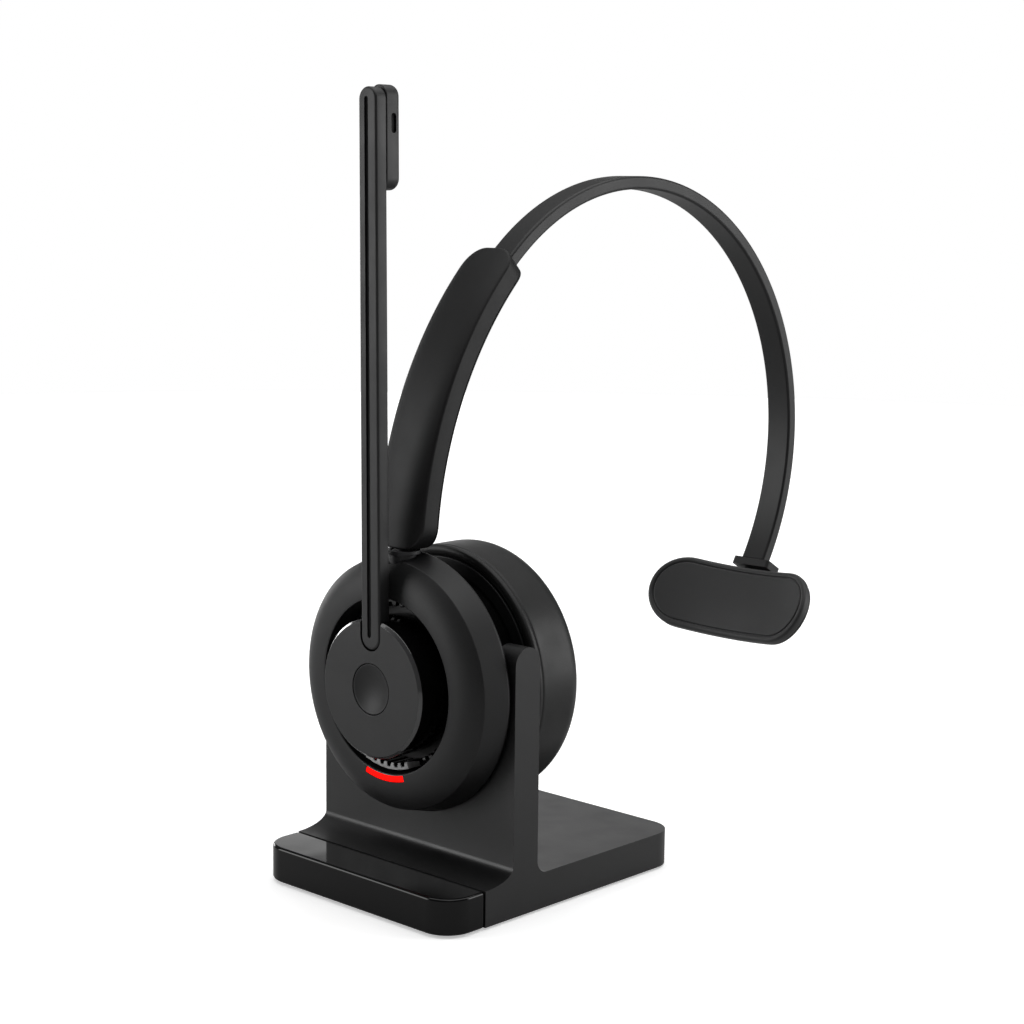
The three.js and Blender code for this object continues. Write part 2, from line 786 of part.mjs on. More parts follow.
function boomPieces() {
  const group = new THREE.Group();
  group.position.set(0, 0, cup.centreZ);
  const drumOutline = turned([
    [button.radius + gap, hubFace + 0.001],
    [hubRadius - hub.chamfer, hubFace],
    [hubRadius, hubFace + hub.chamfer],
    [hubRadius, hubBack],
    [hubRadius - hub.wall, hubBack],
    [hubRadius - hub.wall, hubFace + hub.face],
    [axle.radius + gap, hubFace + hub.face],
    [axle.radius + gap, hubFace + hub.face - 1.2],
    [button.stemRadius + gap, hubFace + hub.face - 1.2],
    [button.stemRadius + gap, hubFace + button.thickness + button.travel + button.sink + gap],
    [button.radius + gap, hubFace + button.thickness + button.travel + button.sink + gap],
  ]);
  const lean = -degrees(boom.lean);
  const slot = deep(boomOutline(gap), hubFace - 1, boomBack + gap).rotateY(lean);
  group.add(piece('boom_hub', cut(drumOutline, slot), 'matte'));

  const clipFront = floorBack + gap;
  const clipBack = clipFront + axle.clipThickness;
  group.add(piece(
    'hub_axle',
    turned([
      [axle.bore, hubFace + hub.face - 1.2 + gap],
      [axle.radius, hubFace + hub.face - 1.2 + gap],
      [axle.radius, clipFront - gap / 2],
      [axle.radius - axle.grooveDepth, clipFront - gap / 2],
      [axle.radius - axle.grooveDepth, clipBack + gap / 2],
      [axle.radius, clipBack + gap / 2],
      [axle.radius, axleEnd],
      [axle.bore, axleEnd],
    ], 48),
    'steel',
  ));
  group.add(piece(
    'hub_retaining_clip',
    clipRing(axle.radius - axle.grooveDepth + 0.15, axle.radius + axle.clipWidth, clipFront, clipBack),
    'steel',
  ));

  const groove = deep(grooveOutline(), hubFace - 1, hubFace + boom.grooveDepth);
  const bar = cut(deep(boomOutline(), hubFace, boomBack), groove);
  group.add(piece('boom_arm', bar.rotateY(lean), 'matte'));

  const podFront = boomBack + seam;
  const podBack = podFront + micPod.depth;
  const podCentre = micPod.top - micPod.radius - 2;
  const capsuleHole = disc(mic.radius + gap, podFront - 1, podFront + mic.thickness + gap, 20).translate(0, 0, podCentre);
  const portHole = block(
    micPod.radius * 2,
    mic.portWidth + 2 * gap,
    mic.portLength + 2 * gap,
    micPod.radius,
    (podFront + podBack) / 2,
    podCentre - 4,
  );
  const pod = cut(deep(podOutline(), podFront, podBack), capsuleHole, portHole);
  group.add(piece('mic_pod', pod.rotateY(lean), 'matte'));
  group.add(piece(
    'mic_capsule',
    disc(mic.radius, podFront + gap / 2, podFront + gap / 2 + mic.thickness - gap / 2, 20).translate(0, 0, podCentre).rotateY(lean),
    'steel',
  ));
  group.add(piece(
    'mic_screen',
    block(
      0.8,
      mic.portWidth,
      mic.portLength,
      micPod.radius - 1,
      (podFront + podBack) / 2,
      podCentre - 4,
    ).rotateY(lean),
    'felt',
  ));

  const dishEdge = hubFace + button.sink;
  const capBack = dishEdge + button.thickness;
  const switchFront = boardFront - gap / 3 - muteSwitch.thickness;
  group.add(piece(
    'mute_button',
    turned([
      [0, dishEdge + button.dish],
      [button.radius * 0.5, dishEdge + button.dish * 0.75],
      [button.radius - 0.5, dishEdge],
      [button.radius, dishEdge + 0.4],
      [button.radius, capBack],
      [button.stemRadius, capBack],
      [button.stemRadius, switchFront - button.travel - gap / 3],
      [0, switchFront - button.travel - gap / 3],
    ], 40),
    'matte',
  ));
  return group;
}

// ---------------------------------------------------------------- slider arm

function aboutArm(inner, outer, start, end) {
  return arcBand(arm.centreY, arm.centreZ, inner, outer, start, end);
}

/** Angle in degrees that a length takes on the arc that the strip slides on. */
function turnOf(length, radius = stripRadius) {
  return THREE.MathUtils.radToDeg(length / radius);
}

/** Places what is drawn around the origin at an angle and radius of the arm's arc. */
function onArm(geometry, angle, radius) {
  const turn = degrees(angle);
  return geometry
    .rotateX(turn - Math.PI / 2)
    .translate(0, arm.centreY + radius * Math.cos(turn), arm.centreZ + radius * Math.sin(turn));
}

/** A rounded plan cut for one end of the arm, along the arm's own tangent there. */
function armEndPlan(angle, towards) {
  const length = arm.midRadius;
  const shape = roundedRectangle(arm.width, length, arm.cornerRadius);
  const plan = raised(shape, -arm.sideThickness * 3, arm.sideThickness * 3, 4);
  return onArm(plan.translate(0, (towards * length) / 2, 0), angle, arm.midRadius);
}

function armSolid() {
  const bevel = {
    bevelEnabled: true,
    bevelThickness: arm.crownWidth,
    bevelSize: arm.crown,
    bevelSegments: 2,
  };
  const shape = aboutArm(armInner, armOuter, arm.topAngle - 2, armBottomAngle + 2);
  const blank = across(shape, arm.width - 2 * arm.crownWidth, bevel, armSteps);
  const ends = join(armEndPlan(arm.topAngle, -1), armEndPlan(armBottomAngle, 1));
  return common(blank, ends);
}

function stripChannel(width, inner, outer) {
  return across(aboutArm(inner, outer, arm.topAngle - 12, armBottomAngle - 4), width, {}, armSteps);
}

/** A cylinder across the arm's thickness. */
function armRod(radius, from, to, angle, x, steps = 16) {
  return onArm(post(radius, from - arm.midRadius, to - arm.midRadius, 0, 0, steps), angle, arm.midRadius)
    .translate(x, 0, 0);
}

function armPieces() {
  const group = new THREE.Group();
  const whole = armSolid();
  const split = armInner + arm.seamHeight;
  const far = armBottomAngle + 20;
  const reach = 20;
  const outerSide = aboutArm(split + seam / 2, split + reach, arm.topAngle - reach, far);
  const innerSide = aboutArm(split - reach, split - seam / 2, arm.topAngle - reach, far);
  const outside = across(outerSide, arm.width * 2, {}, 2 * armSteps);
  const inside = across(innerSide, arm.width * 2, {}, 2 * armSteps);
  const channel = stripChannel(
    band.width + 2 * bandClearance,
    stripRadius - band.thickness / 2 - bandClearance,
    stripRadius + band.thickness / 2 + bandClearance,
  );
  const neckHole = post(neck.gripRadius + gap, 0, neckTop + neck.gripHeight + gap, 0, neck.y);
  const padShape = (grow) => across(
    aboutArm(
      stripRadius + band.thickness / 2 + bandClearance - grow,
      stripRadius + band.thickness / 2 + bandClearance + frictionPad.thickness + grow,
      frictionPad.angle - turnOf(frictionPad.length / 2 + grow),
      frictionPad.angle + turnOf(frictionPad.length / 2 + grow),
    ),
    frictionPad.width + 2 * grow,
    {},
    6,
  );
  const screwXs = [-armScrew.side, armScrew.side];
  const holes = screwXs.map((x) => armRod(armScrew.radius + gap, armInner - 5, armOuter - 0.6, armScrew.angle, x));
  const outerShell = cut(common(whole, outside), channel, neckHole, padShape(gap), ...holes);
  group.add(piece('slider_outer_shell', outerShell, 'matte'));
  group.add(piece('slider_inner_shell', cut(common(whole, inside), channel, neckHole, ...holes), 'matte'));
  group.add(piece('slider_friction_pad', padShape(0), 'felt'));
  screwXs.forEach((x, i) => {
    const side = i === 0 ? 'left' : 'right';
    group.add(piece(
      `slider_screw_${side}`,
      armRod(armScrew.radius, armInner - arm.crown / 2, armOuter - 0.6 - gap, armScrew.angle, x),
      'steel',
    ));
  });
  const bushBottom = cup.centreZ + rimAtNeck - housing.wall - 0.6;
  const pivot = join(
    post(neck.pinRadius, bushBottom - gap - neck.flangeHeight, neckTop - gap, 0, neck.y),
    post(neck.gripRadius, bushBottom, neckTop + neck.gripHeight, 0, neck.y),
    post(bushRadius, bushBottom - gap - neck.flangeHeight, bushBottom - gap, 0, neck.y),
  );
  group.add(piece('swivel_pin', pivot, 'nylon'));
  return group;
}

// ---------------------------------------------------------------- headband and temple pad

/** The strip's tail runs on the arm's arc, then turns with a smaller radius over the head. */
const bandCentre = (() => {
  const turn = Math.atan2(
    Math.sin(degrees(arm.topAngle - 3)),
    Math.cos(degrees(arm.topAngle - 3)),
  );
  const reach = stripRadius - band.radius;
  return { y: arm.centreY + reach * Math.cos(turn), z: arm.centreZ + reach * Math.sin(turn), turn };
})();

class BandPath extends THREE.Curve {
  constructor(endExtra) {
    super();
    this.tailTurn = band.tailLength / stripRadius;
    this.arcTurn = bandCentre.turn + degrees(band.tilt);
    this.lengths = [band.tailLength, this.arcTurn * band.radius, endExtra];
    this.total = this.lengths.reduce((sum, length) => sum + length, 0);
  }

  getPoint(t, target = new THREE.Vector3()) {
    const along = t * this.total;
    const [tail, arc] = this.lengths;
    if (along <= tail) {
      const turn = bandCentre.turn + (tail - along) / stripRadius;
      return target.set(0, arm.centreY + stripRadius * Math.cos(turn), arm.centreZ + stripRadius * Math.sin(turn));
    }
    const turn = Math.max(bandCentre.turn - (along - tail) / band.radius, -degrees(band.tilt));
    const rest = Math.max(along - tail - arc, 0);
    return target.set(
      0,
      bandCentre.y + band.radius * Math.cos(turn) - rest * Math.sin(degrees(band.tilt)),
      bandCentre.z + band.radius * Math.sin(turn) - rest * Math.cos(degrees(band.tilt)),
    );
  }
}

function bandSection(width, thickness, edge) {
  const shape = new THREE.Shape();
  const right = width / 2;
  const top = thickness / 2;
  const corners = [
    [right - edge, -top], [right, edge - top], [right, top - edge], [right - edge, top],
    [edge - right, top], [-right, top - edge], [-right, edge - top], [edge - right, -top],
  ];
  shape.setFromPoints(corners.map(([x, y]) => new THREE.Vector2(x, y)));
  shape.closePath();
  return shape;
}

/** Place and tilt of the band's lower end: local Z runs up the band and local Y to its back. */
function bandEndGroup() {
  const group = new THREE.Group();
  const tilt = degrees(band.tilt);
  group.position.set(0, bandCentre.y + band.radius * Math.cos(tilt), bandCentre.z - band.radius * Math.sin(tilt));
  group.rotation.x = -tilt;
  return group;
}

function bandPieces() {
  const group = new THREE.Group();
  const padTop = pad.height / 2 - pad.distance;
  const bracketTop = padTop + hinge.clear + bracket.height;
  const path = new BandPath(-bracketTop - gap);
  const strip = closed(new THREE.ExtrudeGeometry(bandSection(band.width, band.thickness, band.edge), {
    steps: 56,
    extrudePath: path,
    bevelEnabled: false,
  }));
  group.add(piece('headband_strip', strip, 'matte'));
  const tailEnd = THREE.MathUtils.radToDeg(bandCentre.turn + path.tailTurn);
  group.add(piece(
    'band_end_stop',
    across(
      aboutArm(
        stripRadius - band.thickness / 2,
        stripRadius + band.thickness / 2,
        tailEnd + turnOf(gap),
        tailEnd + turnOf(gap + endStop.length),
      ),
      band.width,
      {},
      4,
    ),
    'nylon',
  ));

  const end = bandEndGroup();
  const bracketBottom = bracketTop - bracket.height;
  const pivotZ = padTop - hinge.drop;
  const knuckle = closed(new THREE.CylinderGeometry(hinge.earRadius, hinge.earRadius, bracket.tongueWidth, 24)
    .rotateZ(Math.PI / 2)
    .translate(0, hinge.back, pivotZ));
  const tongue = block(
    bracket.tongueWidth,
    bracket.tongueThickness,
    bracketTop - pivotZ,
    0,
    hinge.back,
    (bracketTop + pivotZ) / 2,
  );
  const shoulder = block(
    bracket.width,
    bracket.thickness + hinge.back - bracket.thickness / 2 + bracket.tongueThickness / 2,
    bracket.height,
    0,
    (hinge.back + bracket.tongueThickness / 2 - bracket.thickness / 2) / 2,
    (bracketTop + bracketBottom) / 2,
  );
  const pinHole = closed(new THREE.CylinderGeometry(hinge.pinRadius + gap, hinge.pinRadius + gap, 40, 20)
    .rotateZ(Math.PI / 2)
    .translate(0, hinge.back, pivotZ));
  end.add(piece('pad_bracket', cut(join(shoulder, tongue, knuckle), pinHole), 'matte'));
  group.add(end);

  const padGroup = bandEndGroup();
  const faceY = -pad.forward;
  const curveY = faceY - pad.curve;
  const plan = (grow) => deep(stadium(pad.width + grow, pad.height + grow), -30, 30, 6).translate(0, 0, -pad.distance);
  const sheet = (from, to) => raised(arcBand(0, curveY, pad.curve + from, pad.curve + to, 60, 120), -pad.height, pad.height, 14)
    .translate(0, 0, -pad.distance);
  const backFrom = pad.softThickness + seam;
  const earX = bracket.tongueWidth / 2 + gap + hinge.earWidth / 2;
  const ears = [-earX, earX].flatMap((x) => [
    closed(new THREE.CylinderGeometry(hinge.earRadius, hinge.earRadius, hinge.earWidth, 20)
      .rotateZ(Math.PI / 2)
      .translate(x, hinge.back, pivotZ)),
    block(
      hinge.earWidth,
      hinge.back - faceY - backFrom - 0.4,
      hinge.earRadius * 2,
      x,
      (hinge.back + faceY + backFrom + 0.4) / 2,
      pivotZ,
    ),
  ]);
  const backing = cut(
    join(common(sheet(backFrom, backFrom + pad.backThickness), plan(-2 * pad.backInset)), ...ears),
    pinHole,
  );
  padGroup.add(piece('pad_backing', backing, 'matte'));
  padGroup.add(piece('pad_cushion', common(sheet(0, pad.softThickness), plan(0)), 'soft'));
  const pinLength = bracket.tongueWidth + 2 * (gap + hinge.earWidth);
  padGroup.add(piece(
    'pad_hinge_pin',
    closed(new THREE.CylinderGeometry(hinge.pinRadius, hinge.pinRadius, pinLength, 16)
      .rotateZ(Math.PI / 2)
      .translate(0, hinge.back, pivotZ)),
    'steel',
  ));
  group.add(padGroup);
  return group;
}

// ---------------------------------------------------------------- the whole object

const headset = new THREE.Group();
headset.add(standPieces(), cupPieces(), boomPieces(), armPieces(), bandPieces());

export default headset;
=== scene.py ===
"""Looks of a mono wireless headset that rests in the cradle of its upright charging stand.

Shapes are worked out in millimetres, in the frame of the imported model, and put into Blender in metres.
+X is to the right seen from the front, +Y to the back and +Z up. Every place comes from the box of a
node of the frame, or from a joint of it, and a few sizes of each piece's own detail.
"""

import json
import logging
import math
from collections.abc import Callable
from dataclasses import dataclass, field
from enum import Enum

import bmesh
import bpy
import numpy as np
from mathutils import Matrix, Vector


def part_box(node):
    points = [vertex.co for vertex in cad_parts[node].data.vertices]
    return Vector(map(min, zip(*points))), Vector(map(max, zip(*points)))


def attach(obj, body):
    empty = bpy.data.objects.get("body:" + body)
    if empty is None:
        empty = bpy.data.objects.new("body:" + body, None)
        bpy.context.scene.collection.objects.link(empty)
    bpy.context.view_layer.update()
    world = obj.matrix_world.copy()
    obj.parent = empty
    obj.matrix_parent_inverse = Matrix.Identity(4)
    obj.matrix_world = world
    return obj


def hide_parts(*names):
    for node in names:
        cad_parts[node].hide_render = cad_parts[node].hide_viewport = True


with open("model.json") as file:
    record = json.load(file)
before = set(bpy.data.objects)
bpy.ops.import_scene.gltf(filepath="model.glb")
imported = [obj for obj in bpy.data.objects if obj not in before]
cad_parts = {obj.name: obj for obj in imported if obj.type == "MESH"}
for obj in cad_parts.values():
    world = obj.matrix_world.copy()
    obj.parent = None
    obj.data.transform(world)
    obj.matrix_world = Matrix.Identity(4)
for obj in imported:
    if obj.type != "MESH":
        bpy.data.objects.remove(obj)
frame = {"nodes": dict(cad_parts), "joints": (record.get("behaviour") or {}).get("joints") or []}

log = logging.getLogger("headset")
MM = 0.001
SEAM = 0.12
GAP = 0.3
Array = np.ndarray
Object = bpy.types.Object
Outline = Callable[[float], Array]
Warp = Callable[[Array], Array]


class Axis(Enum):
    """An axis of the frame."""

    X = 0
    Y = 1
    Z = 2


class Body(str, Enum):
    """The moving bodies of the frame."""

    STAND = "stand"
    CUP = "ear_cup"
    BOOM = "boom"
    BUTTON = "mute_button"
    ARM = "slider_arm"
    BAND = "headband"
    PAD = "temple_pad"


class Join(str, Enum):
    """How two solids become one."""

    CUT = "DIFFERENCE"
    ADD = "UNION"


# ---------------------------------------------------------------- the frame, in millimetres


@dataclass(frozen=True)
class Extent:
    """The lowest and highest corner of a node of the frame, in millimetres."""

    low: Array
    high: Array

    @classmethod
    def of(cls, node: str) -> "Extent":
        """Reads the box of a node."""
        low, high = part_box(node)
        return cls(np.array(low) / MM, np.array(high) / MM)

    @property
    def middle(self) -> Array:
        """The centre of the box."""
        return (self.low + self.high) / 2

    @property
    def size(self) -> Array:
        """The three sides of the box."""
        return self.high - self.low


def pivot(joint: str) -> Array:
    """The place of a hinge of the frame, in millimetres."""
    found = next(j for j in frame["joints"] if j["name"] == joint)
    return np.array(found["pos_m"]) / MM


# ---------------------------------------------------------------- outlines and surfaces


def arc(centre: tuple[float, float], radius: float, start: float, end: float, steps: int = 16) -> Array:
    """Points on a circle: the centre plus the radius times the cosine and sine of each angle.

    Args:
        centre: The circle's centre.
        radius: Its radius.
        start: First angle in degrees.
        end: Last angle in degrees.
        steps: How many stretches the arc has.

    Returns:
        An array of steps + 1 points.
    """
    turn = np.radians(np.linspace(start, end, steps + 1))
    return np.stack([centre[0] + radius * np.cos(turn), centre[1] + radius * np.sin(turn)], -1)


def rounded_rectangle(width: float, depth: float, corner: float, steps: int = 14) -> Array:
    """A rectangle about the origin whose corners are quarter circles."""
    x, y = width / 2 - corner, depth / 2 - corner
    quarters = [((x, y), 0), ((-x, y), 90), ((-x, -y), 180), ((x, -y), 270)]
    return np.concatenate([arc(centre, corner, turn, turn + 90, steps) for centre, turn in quarters])


def capsule(low: float, high: float, low_radius: float, high_radius: float, along: int = 40) -> Array:
    """Two half circles joined by straight sides: a bar with round ends, along the second axis.

    Args:
        low: Where the bar starts.
        high: Where it ends.
        low_radius: Radius of the end at low.
        high_radius: Radius of the end at high.
        along: Stretches on each straight side.

    Returns:
        The closed outline.
    """
    first, last = low + low_radius, high - high_radius
    share = np.linspace(0, 1, along + 1)[1:-1, None]
    right = np.array([[low_radius, first]]) * (1 - share) + np.array([[high_radius, last]]) * share
    left = (right * [-1, 1])[::-1]
    return np.concatenate([
        arc((0, first), low_radius, 180, 360, 24), right, arc((0, last), high_radius, 0, 180, 24), left,
    ])


def fillet(corners: list, radii: list[float] | float, steps: int = 6) -> Array:
    """Rounds the corners of a closed outline.

    Each corner becomes the arc that touches both its sides, centred on the line that halves the corner,
    at the radius divided by the sine of half its angle. A point just outside each arc keeps the flat
    beside it flat when it is shaded smooth.

    Args:
        corners: The corner points in order.
        radii: One radius for each corner, or one for all.
        steps: Stretches in each arc.

    Returns:
        The rounded outline, as one array of points.
    """
    place = np.asarray(corners, float)
    radius = np.broadcast_to(np.asarray(radii, float), len(place))
    back, ahead = np.roll(place, 1, 0) - place, np.roll(place, -1, 0) - place
    back_length, ahead_length = np.linalg.norm(back, axis=1), np.linalg.norm(ahead, axis=1)
    back, ahead = back / back_length[:, None], ahead / ahead_length[:, None]
    half = np.arccos(np.clip((back * ahead).sum(1), -1, 1)) / 2
    reach = np.minimum(radius / np.tan(np.maximum(half, 1e-3)), 0.47 * np.minimum(back_length, ahead_length))
    real = reach * np.tan(half)
    middle = back + ahead
    middle /= np.maximum(np.linalg.norm(middle, axis=1), 1e-9)[:, None]
    centre = place + middle * (real / np.maximum(np.sin(half), 1e-3))[:, None]
    start, end = place + back * reach[:, None] - centre, place + ahead * reach[:, None] - centre
    bend = np.maximum(np.pi - 2 * half, 1e-6)[:, None, None]
    share = np.linspace(0, 1, steps + 1)[None, :, None]
    bow = np.sin((1 - share) * bend) * start[:, None] + np.sin(share * bend) * end[:, None]
    rounded = centre[:, None] + bow / np.sin(bend)
    straight = np.abs(np.sin(bend)) < 1e-5
    rounded = np.where(straight, place[:, None], rounded)
    ease = (np.minimum(0.3, 0.06 * np.minimum(back_length, ahead_length)) * (reach > 0))[:, None]
    before, after = place + back * (reach[:, None] + ease), place + ahead * (reach[:, None] + ease)
    return np.concatenate([before[:, None], rounded, after[:, None]], 1).reshape(-1, 2)


def grid_faces(rows: int, columns: int, rows_close: bool = False) -> Array:
    """The corner numbers of the four-sided faces between the rows of a grid whose columns close."""
    i, j = np.meshgrid(np.arange(rows if rows_close else rows - 1), np.arange(columns), indexing="ij")
    down, along = (i + 1) % rows, (j + 1) % columns
    faces = np.stack([i * columns + j, i * columns + along, down * columns + along, down * columns + j], -1)
    return faces.reshape(-1, 4)


def add_mesh(name: str, points: Array, faces: list[Array], sharp: float = 35.0) -> Object:
    """Puts a surface into Blender: doubles merged, slivers removed, faces turned outwards, shaded smooth.

    Args:
        name: The piece's name.
        points: Corner places in millimetres.
        faces: Blocks of faces, each an array with one row of corner numbers for a face.
        sharp: Edges that bend more than this many degrees stay sharp.

    Returns:
        The new object, at the origin.
    """
    mesh = bpy.data.meshes.new(name)
    rows = [row for block in faces for row in block.tolist()]
    mesh.from_pydata((points.reshape(-1, 3) * MM).tolist(), [], rows)
    piece = bpy.data.objects.new(name, mesh)
    bpy.context.scene.collection.objects.link(piece)
    tidy_mesh(piece, sharp)
    return piece


def tidy_mesh(piece: Object, sharp: float = 35.0) -> None:
    """Merges doubles, drops slivers and loose edges, turns faces outwards and sets which edges are sharp."""
    work = bmesh.new()
    work.from_mesh(piece.data)
    bmesh.ops.remove_doubles(work, verts=work.verts, dist=1e-6)
    bmesh.ops.dissolve_degenerate(work, edges=work.edges, dist=5e-7)
    loose = [edge for edge in work.edges if not edge.link_faces]
    bmesh.ops.delete(work, geom=loose, context="EDGES")
    bmesh.ops.delete(work, geom=[v for v in work.verts if not v.link_faces], context="VERTS")
    bmesh.ops.recalc_face_normals(work, faces=work.faces)
    work.to_mesh(piece.data)
    work.free()
    piece.data.shade_smooth()
    piece.data.set_sharp_from_angle(angle=math.radians(sharp))


def loft(name: str, rings: Array, capped: bool = True, sharp: float = 35.0) -> Object:
    """A skin over closed rings, one after the other: a grid of rings by places round each ring.

    Args:
        name: The piece's name.
        rings: Array of rings by points by three, in millimetres.
        capped: True closes the first and last ring with a face, False joins the last ring to the first.
        sharp: Edges that bend more than this many degrees stay sharp.

    Returns:
        The new object.
    """
    count, around = rings.shape[:2]
    faces = [grid_faces(count, around, rows_close=not capped)]
    if capped:
        ring = np.arange(around)
        faces += [ring[None, ::-1], ring[None] + (count - 1) * around]
    return add_mesh(name, rings, faces, sharp)


def prism(name: str, outline: Array, axis: Axis, low: float, high: float) -> Object:
    """An outline carried straight along an axis, from low to high, closed at both ends."""
    rings = np.zeros((2, len(outline), 3))
    rings[:, :, [a for a in range(3) if a != axis.value]] = outline
    rings[:, :, axis.value] = np.array([[low], [high]])
    return loft(name, rings)


def turned(name: str, outline: Array, centre: Array, axis: Axis = Axis.Y, steps: int = 176) -> Object:
    """A closed outline of [radius, place along the axis] carried round the axis through centre.

    The two parameters are the angle a and the place k on the outline. A point is the centre plus
    radius k times (cosine a, sine a) across the axis, at the outline's own place along it.
    """
    turn = np.arange(steps) * (2 * np.pi / steps)
    across = [a for a in range(3) if a != axis.value]
    rings = np.zeros((steps, len(outline), 3))
    rings[..., across[0]] = centre[across[0]] + outline[None, :, 0] * np.cos(turn)[:, None]
    rings[..., across[1]] = centre[across[1]] + outline[None, :, 0] * np.sin(turn)[:, None]
    rings[..., axis.value] = outline[None, :, 1]
    return loft(name, rings, capped=False)


def box_outline(low: tuple[float, float], high: tuple[float, float], radius: float = 0.0) -> Array:
    """A rectangle between two corners, with its corners rounded."""
    corners = [(low[0], low[1]), (high[0], low[1]), (high[0], high[1]), (low[0], high[1])]
    return fillet(corners, radius) if radius else np.array(corners, float)


def edge_rim(low: float, high: float, low_edge: float, high_edge: float, steps: int = 5) -> Array:
    """The side of a plate as pairs of inset and height: a quarter circle, a straight side, a quarter circle.

    Args:
        low: Height of the low face.
        high: Height of the high face.
        low_edge: Radius of the low edge.
        high_edge: Radius of the high edge.
        steps: Stretches in each quarter circle.

    Returns:
        Rows of [inset, height] from the low face to the high face.
    """
    turn = np.radians(np.linspace(0, 90, steps + 1))
    bottom = np.stack([low_edge * (1 - np.sin(turn)), low + low_edge * (1 - np.cos(turn))], -1)
    top = np.stack([high_edge * (1 - np.cos(turn)), high - high_edge * (1 - np.sin(turn))], -1)
    lead_in = [[low_edge + 0.25, low]]
    lead_out = [[high_edge + 0.25, high]]
    return np.concatenate([lead_in, bottom, top, lead_out])


def plate(name: str, outline: Outline, rim: Array, ribs: int, place: Warp, sharp: float = 35.0) -> Object:
    """A plate drawn by its outline, its rim and where its plane is bent to.

    One parameter runs round the outline. The other runs from the middle line of the low face out to
    the edge, over the rim and back to the middle line of the high face: on the faces the outline's
    first coordinate is scaled from 0 to 1, and on the rim the outline is inset as the rim says.

    Args:
        name: The piece's name.
        outline: Gives the outline for an inset.
        rim: Rows of [inset, height].
        ribs: Stretches from the middle line to the edge, on each face.
        place: Takes points of [across, along, height] to the frame, in millimetres.
        sharp: Edges that bend more than this many degrees stay sharp.

    Returns:
        The new object.
    """
    share = np.linspace(0, 1, ribs + 1)[:-1]
    rows = [outline(rim[0, 0]) * [s, 1] for s in share]
    heights = [rim[0, 1]] * ribs
    rows += [outline(inset) for inset, _ in rim]
    heights += list(rim[:, 1])
    rows += [outline(rim[-1, 0]) * [s, 1] for s in share[::-1]]
    heights += [rim[-1, 1]] * ribs
    flat = np.stack(rows)
    points = np.concatenate([flat, np.broadcast_to(np.array(heights)[:, None, None], flat.shape[:2] + (1,))], -1)
    return add_mesh(name, place(points), [grid_faces(*flat.shape[:2])], sharp)


def joined(piece: Object, tool: Object, how: Join) -> Object:
    """Cuts a piece with a tool, adds the tool to it or keeps what both hold, and removes the tool."""
    change = piece.modifiers.new("joined", "BOOLEAN")
    change.object = tool
    change.operation = how.value
    change.solver = "EXACT"
    settled(piece)
    bpy.data.objects.remove(tool)
    return piece


def settled(piece: Object) -> None:
    """Makes what the piece's modifiers give its own mesh, and tidies it."""
    graph = bpy.context.evaluated_depsgraph_get()
    mesh = bpy.data.meshes.new_from_object(piece.evaluated_get(graph))
    piece.modifiers.clear()
    piece.data = mesh
    tidy_mesh(piece)


def softened(piece: Object, width: float, steps: int = 3, angle: float = 40.0) -> Object:
    """Rounds the sharp edges of a piece with a bevel of a width in millimetres, which keeps the flats flat."""
    bevel = piece.modifiers.new("edge", "BEVEL")
    bevel.width = width * MM
    bevel.segments = steps
    bevel.limit_method = "ANGLE"
    bevel.angle_limit = math.radians(angle)
    bevel.harden_normals = True
    bevel.miter_outer = "MITER_ARC"
    return piece


# ---------------------------------------------------------------- finishes


def linear(colour: str) -> tuple[float, float, float, float]:
    """An sRGB hex colour as the linear numbers that the shader takes."""
    parts = np.array([int(colour[i:i + 2], 16) for i in (1, 3, 5)]) / 255
    light = np.where(parts <= 0.04045, parts / 12.92, ((parts + 0.055) / 1.055) ** 2.4)
    return (*light.tolist(), 1.0)


class Grain(Enum):
    """How a surface was made, which sets its fine relief."""

    SPARKED = "sparked"  # moulded against a spark-eroded tool: a fine even frost
    POLISHED = "polished"  # moulded against a polished tool: flat, with a faint long wave
    BRUSHED = "brushed"  # drawn or ground along one way: fine long lines
    PEBBLED = "pebbled"  # embossed skin: small rounded cells with creases between
    WOVEN = "woven"  # threads over and under each other


def add(tree: bpy.types.NodeTree, kind: str, inputs: dict | None = None, **settings: object) -> bpy.types.Node:
    """Adds a node with its settings, and sets or links its inputs.

    Args:
        tree: The material's node tree.
        kind: The node's type, without the ShaderNode in front.
        inputs: For each input's name or number, a value or the output that is linked to it.
        settings: Properties of the node itself.

    Returns:
        The new node.
    """
    node = tree.nodes.new("ShaderNode" + kind)
    for key, value in settings.items():
        setattr(node, key, value)
    for key, value in (inputs or {}).items():
        if isinstance(value, bpy.types.NodeSocket):
            tree.links.new(value, node.inputs[key])
        else:
            node.inputs[key].default_value = value
    return node


